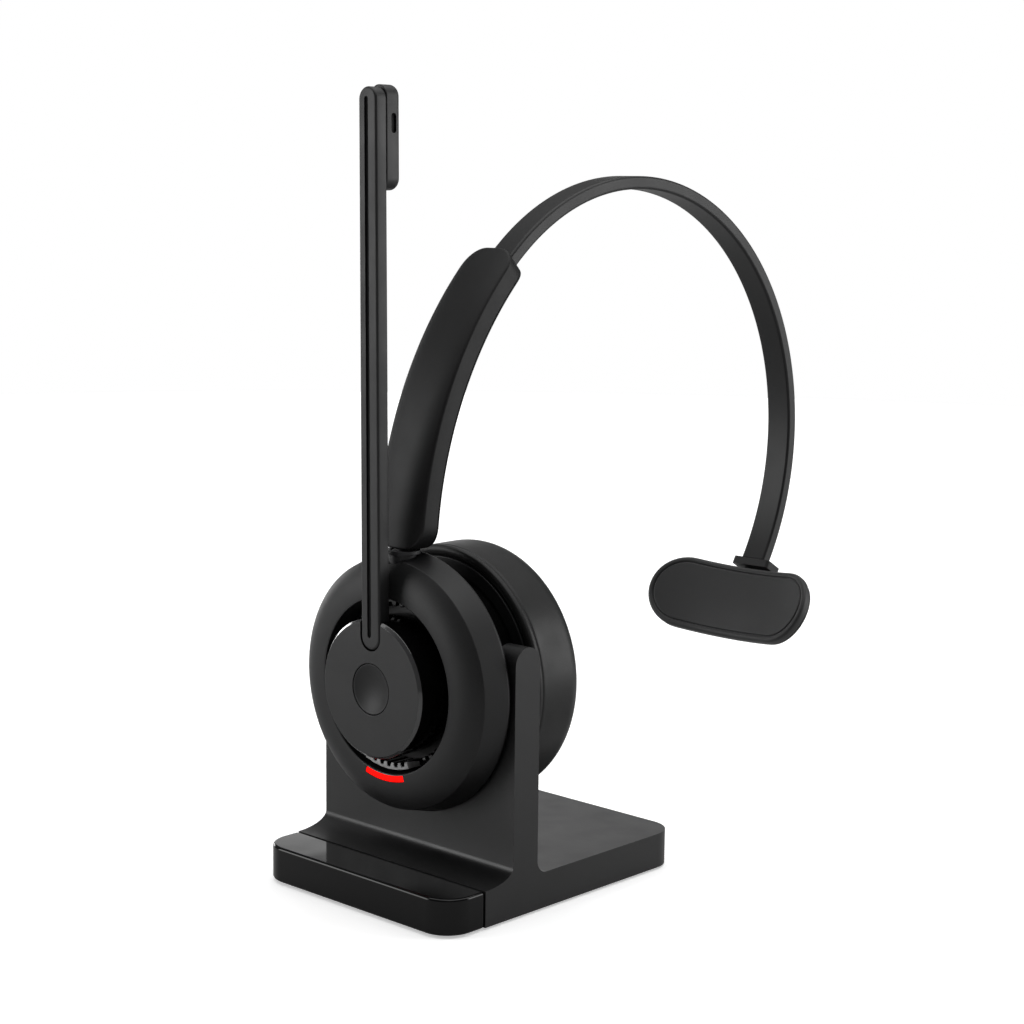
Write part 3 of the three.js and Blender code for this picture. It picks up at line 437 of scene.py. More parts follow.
@dataclass(frozen=True)
class Finish:
    """One finish: what the piece is made of and how its surface was made.

    colour and tint are the two ends of the resin's, metal's or thread's own variation. roughness wanders
    by spread over patches of a few millimetres, as handling and mould flow leave it. grain is the width
    of one cell of the relief and relief its depth, both in millimetres.
    """

    name: str
    colour: str
    tint: str
    roughness: float
    grain: float
    relief: float
    made: Grain = Grain.SPARKED
    spread: float = 0.05
    patch: float = 9.0
    metallic: float = 0.0
    ior: float = 1.5
    coat: float = 0.0
    sheen: float = 0.0
    stretch: tuple[float, float, float] = (1.0, 1.0, 1.0)
    glow: float = 0.0
    specular: float = 0.5

    def cells(self, tree: bpy.types.NodeTree, place: bpy.types.NodeSocket) -> bpy.types.NodeSocket:
        """The height of the relief, from 0 to 1, as an output of the tree."""
        fineness = 1 / (self.grain * MM)
        if self.made is Grain.WOVEN:
            bands = [
                add(tree, "TexWave", {"Vector": place, "Scale": math.tau * fineness / 20, "Distortion": 0.6},
                    wave_type="BANDS", bands_direction=way).outputs["Fac"]
                for way in ("X", "Z")
            ]
            return add(tree, "Math", {0: bands[0], 1: bands[1]}, operation="MULTIPLY").outputs[0]
        if self.made is Grain.PEBBLED:
            bent = add(tree, "TexNoise", {"Vector": place, "Scale": fineness / 3, "Detail": 2.0}).outputs["Color"]
            moved = add(tree, "MixRGB", {"Fac": self.grain * MM, 1: place, 2: bent}, blend_type="ADD").outputs[0]
            return add(tree, "TexVoronoi", {"Vector": moved, "Scale": fineness},
                       feature="DISTANCE_TO_EDGE").outputs["Distance"]
        detail = {Grain.SPARKED: 3.0, Grain.POLISHED: 0.0, Grain.BRUSHED: 2.0}[self.made]
        return add(tree, "TexNoise", {"Vector": place, "Scale": fineness, "Detail": detail}).outputs["Fac"]

    def material(self) -> bpy.types.Material:
        """The finish as a node material, made once."""
        known = bpy.data.materials.get(self.name)
        if known:
            return known
        made = bpy.data.materials.new(self.name)
        made.use_nodes = True
        made.diffuse_color = linear(self.colour)
        tree = made.node_tree
        shader = tree.nodes["Principled BSDF"]
        place = add(tree, "TexCoord").outputs["Object"]
        scaled = add(tree, "Mapping", {"Vector": place, "Scale": self.stretch}).outputs["Vector"]
        relief = self.cells(tree, scaled)
        patches = add(tree, "TexNoise", {"Vector": place, "Scale": 1 / (self.patch * MM), "Detail": 3.0})
        wander = patches.outputs["Fac"]
        rough = add(tree, "MapRange", {"Value": wander, "From Min": 0.3, "From Max": 0.7,
                                       "To Min": self.roughness - self.spread,
                                       "To Max": self.roughness + self.spread})
        mixed = add(tree, "Math", {0: wander, 1: relief}, operation="MULTIPLY")
        ramp = add(tree, "ValToRGB", {"Fac": mixed.outputs[0]})
        ramp.color_ramp.elements[0].color = linear(self.colour)
        ramp.color_ramp.elements[1].color = linear(self.tint)
        bump = add(tree, "Bump", {"Height": relief, "Distance": self.relief * MM, "Strength": 0.6})
        tree.links.new(ramp.outputs["Color"], shader.inputs["Base Color"])
        tree.links.new(rough.outputs["Result"], shader.inputs["Roughness"])
        tree.links.new(bump.outputs["Normal"], shader.inputs["Normal"])
        values = {"Metallic": self.metallic, "IOR": self.ior, "Coat Weight": self.coat, "Coat Roughness": 0.06,
                  "Sheen Weight": self.sheen, "Emission Strength": self.glow,
                  "Specular IOR Level": self.specular}
        for socket, value in values.items():
            shader.inputs[socket].default_value = value
        if self.glow:
            shader.inputs["Emission Color"].default_value = linear(self.tint)
        return made


# Satin ABS moulded against a sparked tool: near black, and it spreads a light into a soft broad grey.
SATIN_ABS = Finish("satin_abs_sparked", "#0b0b0c", "#161617", 0.5, 0.28, 0.008, spread=0.03, specular=0.42)
# The same resin on the hub and boom, with a slightly coarser frost: flatter and paler where it faces light.
FROSTED_ABS = Finish("frosted_abs_sparked", "#0c0c0d", "#19191a", 0.5, 0.32, 0.014, spread=0.04)
# ABS and polycarbonate blend of the stand, moulded satin: a smooth even sheen on its broad faces.
STAND_ABS = Finish("stand_abs_pc_satin", "#0a0a0b", "#141415", 0.4, 0.3, 0.008, spread=0.03)
# Acrylic moulded against a polished tool and left bare: mirror black with a faint long wave.
PIANO_BLACK = Finish("piano_black_polished", "#030303", "#070708", 0.07, 7.0, 0.02, Grain.POLISHED,
                     spread=0.012, patch=14.0, ior=1.49, specular=0.3)
# Satin ABS of the slider arm, moulded with a deeper frost: it throws back less light than the cup.
ARM_ABS = Finish("arm_abs_deep_sparked", "#0a0a0b", "#151516", 0.52, 0.3, 0.010, spread=0.03, specular=0.3)
# Polished resin under a clear coat at the edges of the hub and recess; its paler grey than the black resin is a
# painted highlight, so each edge shows as a fine bright line.
PAINTED_HIGHLIGHT_EDGE = Finish("abs_edge_painted_highlight", "#2c2c2d", "#414142", 0.2, 5.0, 0.008, Grain.POLISHED, coat=1.0)
# Pale grey on the comb at the foot of the recess, next to the light: painted light, for the lower teeth lit from
# above, so they read as a row of pale teeth.
PAINTED_LIGHT_COMB = Finish("comb_painted_light", "#8f8f8f", "#c9c9c9", 0.45, 1.2, 0.004, Grain.POLISHED)
# The same resin on the band, drawn thinner: an even satin that stays quiet at a flat angle.
BAND_ABS = Finish("band_abs_satin", "#0a0a0b", "#131314", 0.46, 0.3, 0.003, spread=0.02, specular=0.4)
# Gloss ABS of the drum: polished, so that the groove shows one soft bright line.
GLOSS_ABS = Finish("gloss_abs_polished", "#050505", "#0a0a0a", 0.17, 6.0, 0.02, Grain.POLISHED, spread=0.03)
# Protein leather over foam: fine pebbles that break the light on the drum's shoulder.
PROTEIN_LEATHER = Finish("protein_leather_embossed", "#0a0a0a", "#171717", 0.46, 0.55, 0.03, Grain.PEBBLED,
                         spread=0.05, sheen=0.03, specular=0.36)
# Soft-touch polyurethane skin of the temple pad: a dry, even dark grey.
PAD_SKIN = Finish("soft_touch_polyurethane", "#121213", "#1f1f20", 0.55, 0.4, 0.016, spread=0.04, sheen=0.08)
# Glass-filled nylon: harder and greyer than the shells, with fibres just showing.
NYLON = Finish("glass_filled_nylon", "#17171a", "#2a2a2c", 0.5, 0.3, 0.012, stretch=(1.0, 1.0, 0.4))
# Silicone of the rest pad: dull, and darker than the plastic.
SILICONE = Finish("moulded_silicone", "#0d0d0d", "#171717", 0.78, 0.5, 0.02)
# Spring steel band core and pins, ground: fine lines along the piece.
STEEL = Finish("ground_stainless_steel", "#8b8e91", "#b4b7ba", 0.3, 0.25, 0.006, Grain.BRUSHED,
               metallic=1.0, stretch=(1.0, 1.0, 0.06))
# Zinc plating on screws: bluish and a little cloudy.
ZINC = Finish("zinc_plated_steel", "#7d8288", "#a3a8ae", 0.34, 0.8, 0.006, metallic=1.0)
# Hard gold flash over nickel on the contacts: warm and smooth.
GOLD = Finish("hard_gold_plating", "#c5953a", "#e2b95c", 0.22, 0.9, 0.004, Grain.POLISHED, metallic=1.0)
# Solder resist over copper: green with slightly raised tracks.
SOLDER_RESIST = Finish("solder_resist_on_glass_epoxy", "#123320", "#2c6a41", 0.38, 1.6, 0.03, Grain.PEBBLED)
# Heat-shrunk wrap of the cell: silver grey film.
CELL_FILM = Finish("heat_shrunk_cell_film", "#8f9296", "#b9bcc0", 0.35, 2.0, 0.01, Grain.POLISHED)
# Acoustic cloth: black threads 0.4 mm apart, drawn at 0.7 mm so that the weave shows.
ACOUSTIC_CLOTH = Finish("woven_acoustic_cloth", "#0d0d0d", "#34343a", 0.85, 0.7, 0.12, Grain.WOVEN, sheen=0.2)
# Frosted polycarbonate light guide, lit from behind: saturated red with a slightly paler core.
RED_GUIDE = Finish("frosted_polycarbonate_lit_red", "#7c0000", "#ff0a04", 0.5, 1.2, 0.01,
                   glow=1.5, specular=0.05)


def dressed(piece: Object, finish: Finish) -> Object:
    """Gives every material slot of a piece the finish."""
    if not piece.material_slots:
        piece.data.materials.append(None)
    for holder in piece.material_slots:
        holder.material = finish.material()
    return piece


def from_axis(places: Array, centre: Array) -> Array:
    """How far places lie from the line along Y through a centre."""
    return np.hypot(places[:, 0] - centre[0], places[:, 2] - centre[2])


def refinished(piece: Object, finish: Finish, chosen: Warp) -> None:
    """Gives some faces of a dressed piece a second finish.

    Args:
        piece: The piece.
        finish: The second finish.
        chosen: From the faces' middles in millimetres, true for each face that gets it.
    """
    faces = piece.data.polygons
    middles = np.zeros(len(faces) * 3)
    faces.foreach_get("center", middles)
    index = np.zeros(len(faces), np.int32)
    faces.foreach_get("material_index", index)
    piece.data.materials.append(finish.material())
    index[chosen(middles.reshape(-1, 3) / MM)] = len(piece.data.materials) - 1
    faces.foreach_set("material_index", index)
    piece.data.update()


@dataclass
class Assembly:
    """A sub-assembly: it collects its pieces and ties each to the frame."""

    pieces: list[Object] = field(default_factory=list, init=False)

    def fit(self, piece: Object, finish: Finish, body: Body, slot: str, *nodes: str) -> Object:
        """Dresses a finished piece, makes it ride on its body and stand for its nodes.

        Args:
            piece: The piece, in its place.
            finish: Its finish.
            body: The body that it moves with.
            slot: The record's material slot; not used.
            nodes: The nodes of the frame that it stands for.

        Returns:
            The same piece.
        """
        dressed(piece, finish)
        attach(piece, body.value)
        if nodes:
            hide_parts(*nodes)
        self.pieces.append(piece)
        return piece

    def keep(self, finish: Finish, *nodes: str) -> None:
        """Gives nodes of the frame whose shape is right their finish."""
        for node in nodes:
            self.pieces.append(dressed(frame["nodes"][node], finish))


# ---------------------------------------------------------------- charging stand


@dataclass
class ChargingStand(Assembly):
    """The base, its gloss front cap and the upright wall with the cradle, in millimetres."""

    corner: float = 7.5
    wall: float = 2.0
    roof: float = 1.6
    edge: float = 0.45
    gloss_edge: float = 0.7
    upright_thickness: float = 8.45
    foot_front: float = 3.6
    foot_rear: float = 3.3
    wall_behind_cup: float = 10.75
    drum_radius: float = 26.0
    cradle_clearance: float = 0.4

    def __post_init__(self) -> None:
        """Reads the stand's places from the frame."""
        self.body = Extent.of("stand_body")
        self.cap = Extent.of("stand_front_cap")
        self.cover = Extent.of("stand_bottom_cover")
        self.holder = Extent.of("contact_pin_holder")
        self.socket = Extent.of("usb_c_receptacle")
        self.drum = Extent.of("cup_groove_drum")
        self.housing = Extent.of("cup_front_housing")
        self.cup_centre = Extent.of("boom_hub").middle
        self.width = float(self.body.size[0])
        self.depth = float(self.body.high[1] - self.cap.low[1])
        self.roof_height = float(self.cap.high[2])
        self.wall_front = float(self.housing.low[1]) + self.wall_behind_cup
        self.wall_rear = self.wall_front + self.upright_thickness
        self.cradle_radius = self.drum_radius + self.cradle_clearance

    def plan(self, inset: float) -> Array:
        """The outline of the whole base seen from above, inset by a distance."""
        return rounded_rectangle(self.width - 2 * inset, self.depth - 2 * inset, self.corner - inset)

    def slab(self, name: str, inset: float, low: float, high: float) -> Object:
        """A plate of the base's plan between two heights."""
        return prism(name, self.plan(inset), Axis.Z, low, high)

    def region(self, name: str, y: float, before: bool) -> Object:
        """All that lies before or behind a place along the stand, as a tool for a cut."""
        low, high = (-self.depth, y) if before else (y, self.depth)
        return prism(name, box_outline((-self.width, low), (self.width, high)), Axis.Z, -1.0, 60.0)

    def side_outline(self) -> Array:
        """The upright seen from the side: a sweeping foot, a wall with a round top and a filleted heel."""
        toe, heel = float(self.body.low[1]), self.wall_rear + self.foot_rear
        radius, deep = self.upright_thickness / 2, self.roof_height - self.roof * 0.75
        centre = (self.wall_front + radius, float(self.body.high[2]) - radius)
        turn = np.radians(np.linspace(0, -90, 23))
        foot = np.stack([toe + (self.wall_front - toe) * np.cos(turn),
                         self.roof_height + self.foot_front * (1 + np.sin(turn))], -1)
        back = arc((heel, self.roof_height + self.foot_rear), self.foot_rear, 270, 180, 14)
        return np.concatenate([[[toe, deep], [heel, deep]], back, arc(centre, radius, 0, 180, 32), foot])

    def cradle_outline(self) -> Array:
        """The notch that the cup rests in: a half circle about the cup's axis, open upwards."""
        z, high = float(self.cup_centre[2]), float(self.body.high[2]) * 1.5
        round_part = arc((0, z), self.cradle_radius, 180, 360, 96)
        return np.concatenate([round_part, [[self.cradle_radius, high], [-self.cradle_radius, high]]])

    def make_body(self) -> Object:
        """The rear of the base and the upright in one moulding, hollow below, with every sharp edge broken."""
        low, back = float(self.body.low[2]), float(self.body.high[1])
        piece = self.slab("stand_body_moulding", 0, low, self.roof_height)
        joined(piece, self.region("front", float(self.body.low[1]), True), Join.CUT)
        wall = prism("upright", self.side_outline(), Axis.X, -self.width / 2, self.width / 2)
        notch = prism("cradle", self.cradle_outline(), Axis.Y, self.wall_front - 2, self.wall_rear + 2)
        joined(wall, notch, Join.CUT)
        joined(piece, wall, Join.ADD)
        hollow = self.slab("hollow", self.wall, low - 1, self.roof_height - self.roof)
        joined(hollow, self.region("front", float(self.body.low[1]) + self.wall, True), Join.CUT)
        joined(piece, hollow, Join.CUT)
        spread = self.holder.size / 2 + GAP
        middle = self.holder.middle
        pocket = box_outline(tuple(middle[:2] - spread[:2]), tuple(middle[:2] + spread[:2]))
        joined(piece, prism("pocket", pocket, Axis.Z, self.roof_height - 2, self.holder.high[2] + 4), Join.CUT)
        half = self.socket.size / 2 + GAP
        slot = rounded_rectangle(2 * half[0], 2 * half[2], half[2] - 0.01) + self.socket.middle[[0, 2]]
        joined(piece, prism("socket", slot, Axis.Y, back - 4, back + 1), Join.CUT)
        return softened(piece, self.edge)

    def make_cap(self) -> Object:
        """The gloss cap: the front of the same plan, hollow below, with a slightly rounder polished edge."""
        piece = self.slab("stand_gloss_cap", 0, float(self.cap.low[2]), self.roof_height)
        back = float(self.cap.high[1])
        joined(piece, self.region("rear", back, False), Join.CUT)
        hollow = self.slab("hollow", self.wall, -1, self.roof_height - self.roof)
        joined(hollow, self.region("rear", back - self.wall, False), Join.CUT)
        joined(piece, hollow, Join.CUT)
        return softened(piece, self.gloss_edge, 4)

    def make_cover(self) -> Object:
        """The plate that closes the base from below, with its four countersunk holes."""
        inset = self.wall + GAP
        low, high = float(self.cover.low[2]), float(self.cover.high[2])
        piece = self.slab("stand_bottom_plate", inset, low, high)
        for number in range(1, 5):
            screw = Extent.of(f"cover_screw_{number}")
            for radius, top in ((float(screw.size[0]) / 2 + GAP, low + 0.9), (1.3, high + 1)):
                hole = arc(tuple(screw.middle[:2]), radius, 0, 360, 40)[:-1]
                joined(piece, prism("hole", hole, Axis.Z, low - 1, top), Join.CUT)
        return softened(piece, 0.2, 2)

    def make_rest_pad(self) -> Object:
        """The silicone pad that the stand rests on: a thin plate with rounded edges."""
        extent = Extent.of("rest_pad")
        width, depth = extent.size[:2]

        def outline(inset: float) -> Array:
            """The pad's plan, inset."""
            return rounded_rectangle(width - 2 * inset, depth - 2 * inset, 4 - inset, 10)

        rim = edge_rim(float(extent.low[2]), float(extent.high[2]), 0.35, 0.2)
        return plate("silicone_rest_pad", outline, rim, 2, lambda points: points)

    def make_socket(self) -> Object:
        """The charging socket: a drawn steel shell with a tongue in it, seen in the base's rear."""
        half = self.socket.size / 2
        middle = self.socket.middle[[0, 2]]
        front, back = float(self.socket.low[1]), float(self.socket.high[1])
        shells = [rounded_rectangle(2 * (half[0] - t), 2 * (half[2] - t), half[2] - t - 0.01) + middle
                  for t in (0, 0.35)]
        piece = prism("charging_socket_shell", shells[0], Axis.Y, front, back)
        joined(piece, prism("mouth", shells[1], Axis.Y, front + 1, back + 1), Join.CUT)
        tongue = box_outline(tuple(middle - [3.3, 0.35]), tuple(middle + [3.3, 0.35]), 0.15)
        joined(piece, prism("tongue", tongue, Axis.Y, front + 0.5, back - 0.8), Join.ADD)
        return softened(piece, 0.08, 2)

    def make_contact_pin(self, side: str) -> Object:
        """A sprung charging pin: a round-nosed plunger in a stepped barrel, turned about the upright axis."""
        extent = Extent.of(f"contact_pin_{side}")
        low, high = float(extent.low[2]), float(extent.high[2])
        radius = float(extent.size[0]) / 2
        nose = radius / 1.5
        corners = [(0, low), (radius, low), (radius, low + 1.5), (nose, low + 1.5), (nose, high), (0, high)]
        outline = fillet(corners, [0, 0.15, 0.15, 0.1, 0.55, 0])
        return turned(f"charging_pin_{side}", outline, extent.middle, Axis.Z, 56)

    def build(self) -> None:
        """Makes and fits the stand's pieces."""
        self.fit(self.make_body(), STAND_ABS, Body.STAND, "stand_shell", "stand_body")
        self.fit(self.make_cap(), PIANO_BLACK, Body.STAND, "stand_gloss", "stand_front_cap")
        self.fit(self.make_cover(), STAND_ABS, Body.STAND, "stand_shell", "stand_bottom_cover")
        self.fit(self.make_rest_pad(), SILICONE, Body.STAND, "rubber_foot", "rest_pad")
        self.fit(self.make_socket(), STEEL, Body.STAND, "steel", "usb_c_receptacle")
        for side in ("left", "right"):
            pin = self.make_contact_pin(side)
            self.fit(pin, GOLD, Body.STAND, "gold", f"contact_pin_{side}")
        self.keep(NYLON, "contact_pin_holder")
        self.keep(ZINC, "ballast_plate", *(f"cover_screw_{i}" for i in range(1, 5)))
        self.keep(SOLDER_RESIST, "charging_board")


# ---------------------------------------------------------------- ear cup


@dataclass
class EarCup(Assembly):
    """The round cup: front housing with its recess, groove drum, and leather ear cushion, in millimetres."""

    crease_radius: float = 30.6
    crease_rise: float = 2.9
    recess_radius: float = 21.4
    recess_draft: float = 0.6
    recess_depth: float = 7.7
    housing_depth: float = 10.4
    slot_depth: float = 1.4
    light_depth: float = 1.0
    light_proud: float = 0.05
    speaker_bore: float = 14.9
    wall: float = 1.6
    axle_hole: float = 9.2
    drum_radius: float = 26.0
    neck_hole: float = 3.9
    tooth_count: int = 50
    tooth_height: float = 1.0
    comb_half_angle: float = 21.6
    comb_depth: float = 0.9
    # Depth of the band of the comb that is painted pale: painted light.
    painted_light_band: float = 2.4
    # Depth of the band at the recess rim that is painted paler: a painted highlight.
    painted_highlight_depth: float = 0.3
    light_half_angle: float = 16.5
    light_width: float = 1.4
    light_offset: float = 0.5
    cushion_around: int = 132
    swell_cap: float = 1.1

    def __post_init__(self) -> None:
        """Reads the cup's places from the frame."""
        self.centre = Extent.of("boom_hub").middle
        housing = Extent.of("cup_front_housing")
        self.front = float(housing.low[1])
        self.rim = float(housing.size[0]) / 2
        self.back = self.front + self.housing_depth
        self.floor = self.front + self.recess_depth
        self.cushion = Extent.of("ear_cushion")
        self.baffle = Extent.of("speaker_baffle")
        self.neck = Extent.of("swivel_bush")

    def housing_outline(self) -> Array:
        """Half section of the front housing: recess, crowned ring, crease, sloping side and inner wall.

        The ring's height falls away from its inner edge as the share of its width to the power 2.6.
        """
        front, crease, wall = self.front, self.front + self.crease_rise, self.wall
        share = np.linspace(0.1, 0.97, 16)
        inner = self.recess_radius + 0.1
        ring = [(inner + (self.crease_radius - inner) * s, front + self.crease_rise * s ** 2.6) for s in share]
        floor_end = self.recess_radius - self.recess_draft
        lead = [(self.axle_hole, self.floor), (floor_end, self.floor), (inner, front)]
        tail = [(self.crease_radius, crease), (self.rim, self.back - 0.9), (self.rim - 0.6, self.back),
                (self.rim - wall, self.back), (self.crease_radius - wall, crease + 0.6),
                (28.0, front + 3.1), (23.4, front + 2.3), (floor_end + wall, self.floor + wall),
                (self.axle_hole, self.floor + wall)]
        radii = [0.2, 0.5, 0.35] + [0] * len(ring) + [0.45, 0.8, 0.4, 0.2, 0, 0, 0, 0.3, 0.2]
        return fillet(lead + ring + tail, radii)

    def light_outline(self, grow: float) -> Array:
        """The status light seen from the front: a band of the circle about the cup's axis, at its foot."""
        inner = self.recess_radius + self.light_offset
        centre = (0.0, float(self.centre[2]))
        half = self.light_half_angle + math.degrees(grow / inner)
        outside = arc(centre, inner + self.light_width + grow, 270 - half, 270 + half, 40)
        return np.concatenate([outside, arc(centre, inner - grow, 270 + half, 270 - half, 40)])

    def make_housing(self) -> Object:
        """The front housing, turned about the cup's axis, with the light's slot and the neck's hole."""
        piece = turned("cup_front_shell", self.housing_outline(), self.centre)
        slot = prism("slot", self.light_outline(SEAM), Axis.Y, self.front - 1, self.front + self.slot_depth)
        joined(piece, slot, Join.CUT)
        hole = arc(tuple(self.neck.middle[:2]), self.neck_hole, 0, 360, 48)[:-1]
        top = float(self.centre[2])
        joined(piece, prism("neck", hole, Axis.Z, top + 24, top + self.rim + 4), Join.CUT)
        return piece

    def make_light(self) -> Object:
        """The light guide in its slot, a touch proud and rounded where the eye sees its edge."""
        front, back = self.front - self.light_proud, self.front + self.light_depth
        piece = prism("status_light", self.light_outline(0), Axis.Y, front, back)
        return softened(piece, 0.25, 3)

    def make_drum(self) -> Object:
        """The gloss drum that the cradle holds, with the flange inside the housing and its cut-outs."""
        flange, deep = self.rim - self.wall - GAP, self.cushion.low[1] - GAP
        inner = self.drum_radius - self.wall
        corners = [(inner, self.back - self.wall), (flange - 0.35, self.back - self.wall), (flange, self.back),
                   (self.drum_radius, self.back), (self.drum_radius, deep), (inner, deep)]
        piece = turned("cup_gloss_drum", fillet(corners, [0.2, 0.2, 0.1, 0.35, 0.25, 0.2]), self.centre)
        top = float(self.centre[2])
        cuts = [(self.neck.middle, self.neck_hole + 0.9, top + 20, top + 40)]
        for side in ("left", "right"):
            contact = Extent.of(f"charge_contact_{side}")
            cuts.append((contact.middle, float(contact.size[0]) / 2 + GAP, top - self.drum_radius - 2, top - 20))
        for middle, radius, low, high in cuts:
            hole = arc(tuple(middle[:2]), radius, 0, 360, 40)[:-1]
            joined(piece, prism("hole", hole, Axis.Z, low, high), Join.CUT)
        return piece

    def make_detent_ring(self) -> Object:
        """The toothed ring on the recess floor that gives the boom its clicks.

        The inner radius at angle a is the valley less the tooth height times a wave that is held
        between 0 and 1, so each tooth has a flat crest, a flat valley and sloping flanks. Next to the
        light the ring rises to a comb just under the recess's rim.
        """
        extent = Extent.of("detent_ring")
        outer, (front, back) = float(extent.size[0]) / 2, (extent.low[1], extent.high[1])
        turn = np.arange(self.tooth_count * 16) * (2 * np.pi / (self.tooth_count * 16))
        wave = np.clip(0.5 + 1.3 * np.sin(turn * self.tooth_count), 0, 1)
        inner = outer - 0.7 - self.tooth_height * wave
        steps = [(1, 0.2, 0), (1, 0, 1), (0, 0, 1), (0, 0.15, 0), (0.2, 0, 0), (0.85, 0, 0)]
        foot = np.abs(np.degrees(turn) - 270) < self.comb_half_angle
        face = np.where(foot, self.front + self.comb_depth, front)
        radius = np.stack([inner + (outer - inner) * share for share, _, _ in steps], -1)
        depth = np.stack([(face + drop) * (1 - rear) + back * rear for _, drop, rear in steps], -1)
        rings = np.stack([radius * np.cos(turn)[:, None], depth, radius * np.sin(turn)[:, None]], -1)
        rings[..., 2] += self.centre[2]
        return loft("boom_detent_ring", rings, capped=False)

    def cushion_outline(self) -> tuple[Array, Array]:
        """Half section of the ear cushion, and how firmly each of its points is held by its carrier.

        The section runs from the carrier's lip, up the drum's side past the sewn seam, over the rear
        shoulder, down into the ear well and back under the face.
        """
        front, back = float(self.cushion.low[1]), float(self.cushion.high[1])
        outer = float(self.cushion.size[0]) / 2
        shoulder = 5.2
        side = np.linspace(front + 3.0, back - shoulder, 10)
        well = arc((19.2, back - 4), 4, 90, 180, 8)
        base = float(self.baffle.high[1]) + GAP
        points = np.concatenate([
            [(29.7, base), (29.7, front), (outer - 0.9, front)],
            [(outer - 0.25, front + 0.35), (outer, front + 0.9)],
            [(outer, front + 1.7), (outer - 0.35, front + 2.05), (outer - 0.05, front + 2.4)],
            np.stack([np.full_like(side, outer - 0.1), side], -1),
            arc((outer - shoulder - 0.1, back - shoulder), shoulder, 0, 90, 14)[1:],
            np.stack([np.linspace(outer - shoulder - 1, 20, 8), np.full(8, back)], -1),
            well,
            [(15.2, back - 7), (15.2, back - 9), (16.2, base + 4), (16.6, base)],
        ])
        held = np.zeros(len(points))
        held[:8] = 1
        held[8] = 0.7
        held[-4:] = 1
        held[-5] = 0.6
        return points, held

    def make_cushion(self) -> Object:
        """The leather ear cushion: its section carried round the axis, then swelled by a cloth simulation."""
        outline, held = self.cushion_outline()
        piece = turned("ear_cushion_leather", outline, self.centre, Axis.Y, self.cushion_around)
        self.swell(piece, outline, held)
        smooth = piece.modifiers.new("smooth", "SUBSURF")
        smooth.levels = smooth.render_levels = 1
        return piece

    def swell(self, piece: Object, outline: Array, held: Array) -> None:
        """Fills the cushion by pressure, holds it at the carrier and the seam, and caps each point's move.

        Args:
            piece: The cushion.
            outline: Its half section, as [radius, place along Y].
            held: For each point of the section, 1 where it can't move.
        """
        count = len(piece.data.vertices)
        rest = np.zeros(count * 3)
        piece.data.vertices.foreach_get("co", rest)
        rest = rest.reshape(-1, 3)
        across = rest / MM - self.centre
        section = np.stack([np.hypot(across[:, 0], across[:, 2]), rest[:, 1] / MM], -1)
        nearest = np.argmin(np.linalg.norm(section[:, None] - outline[None], axis=2), axis=1)
        grip = held[nearest]
        group = piece.vertex_groups.new(name="carrier")
        for level in np.unique(grip[grip > 0]):
            group.add(np.flatnonzero(grip == level).tolist(), float(level), "REPLACE")
        cloth = piece.modifiers.new("fill", "CLOTH")
        cloth.settings.quality = 6
        cloth.settings.mass = 0.3
        cloth.settings.tension_stiffness = cloth.settings.compression_stiffness = 25
        cloth.settings.bending_stiffness = 2
        cloth.settings.use_pressure = True
        cloth.settings.uniform_pressure_force = 4
        cloth.settings.vertex_group_mass = "carrier"
        cloth.settings.effector_weights.gravity = 0
        cloth.collision_settings.use_self_collision = False
        scene = bpy.context.scene
        for number in range(1, 21):
            scene.frame_set(number)
        graph = bpy.context.evaluated_depsgraph_get()
        mesh = piece.evaluated_get(graph).to_mesh()
        blown = np.zeros(count * 3)
        mesh.vertices.foreach_get("co", blown)
        piece.evaluated_get(graph).to_mesh_clear()
        move = np.nan_to_num(blown.reshape(-1, 3) - rest)
        length = np.linalg.norm(move, axis=1, keepdims=True)
        move *= np.minimum(1, self.swell_cap * MM / np.maximum(length, 1e-9))
        piece.modifiers.clear()
        scene.frame_set(1)
        piece.data.vertices.foreach_set("co", (rest + move).astype(np.float32).ravel())
        piece.data.update()
        log.info("ear cushion swelled by up to %.2f mm", float(length.max()) / MM)

    def make_baffle(self) -> Object:
        """The disc that carries the speaker, turned, with the step that the drum sits in."""
        front, back = float(self.baffle.low[1]), float(self.baffle.high[1])
        outer, inner = float(self.baffle.size[0]) / 2, self.speaker_bore
        low, high = self.drum_radius - self.wall - GAP, self.drum_radius + GAP
        corners = [(inner, front), (low, front), (low, front + GAP), (high, front + GAP), (high, front),
                   (outer, front), (outer, back), (inner, back)]
        return turned("speaker_baffle_disc", fillet(corners, [0.2, 0.1, 0, 0, 0.1, 0.3, 0.2, 0.2]), self.centre)

    def make_cloth(self) -> Object:
        """The acoustic cloth over the speaker: a disc that bows out by the square of its radius."""
        extent = Extent.of("acoustic_mesh")
        radius, front, back = float(extent.size[0]) / 2, float(extent.low[1]), float(extent.high[1])
        share = np.linspace(1, 0, 14)
        face = np.stack([radius * share, back + 0.5 * (1 - share ** 2)], -1)
        outline = np.concatenate([[(0, front), (radius, front), (radius, back - 0.1)], face])
        return turned("acoustic_cloth", outline, self.centre, steps=96)

    def make_contact(self, side: str) -> Object:
        """A charging contact: a gold-plated button with a rounded face, turned about the upright axis."""
        extent = Extent.of(f"charge_contact_{side}")
        radius, low, high = float(extent.size[0]) / 2, float(extent.low[2]), float(extent.high[2])
        corners = [(0, low - 0.1), (radius, low - 0.1), (radius, high), (0, high)]
        outline = fillet(corners, [0, 0.3, 0.1, 0])
        return turned(f"cup_contact_{side}", outline, extent.middle, Axis.Z, 56)

    def make_bush(self) -> Object:
        """The bush in which the arm's pin turns, a nylon tube with a small top lip."""
        radius, low, high = float(self.neck.size[0]) / 2, float(self.neck.low[2]), float(self.neck.high[2])
        lip, top = radius + 0.7, high + 1.15
        corners = [(3.0, low), (radius, low), (radius, high + 0.2), (lip, high + 0.2), (lip, top), (3.0, top)]
        return turned("neck_bush", fillet(corners, 0.15), self.neck.middle, Axis.Z, 72)

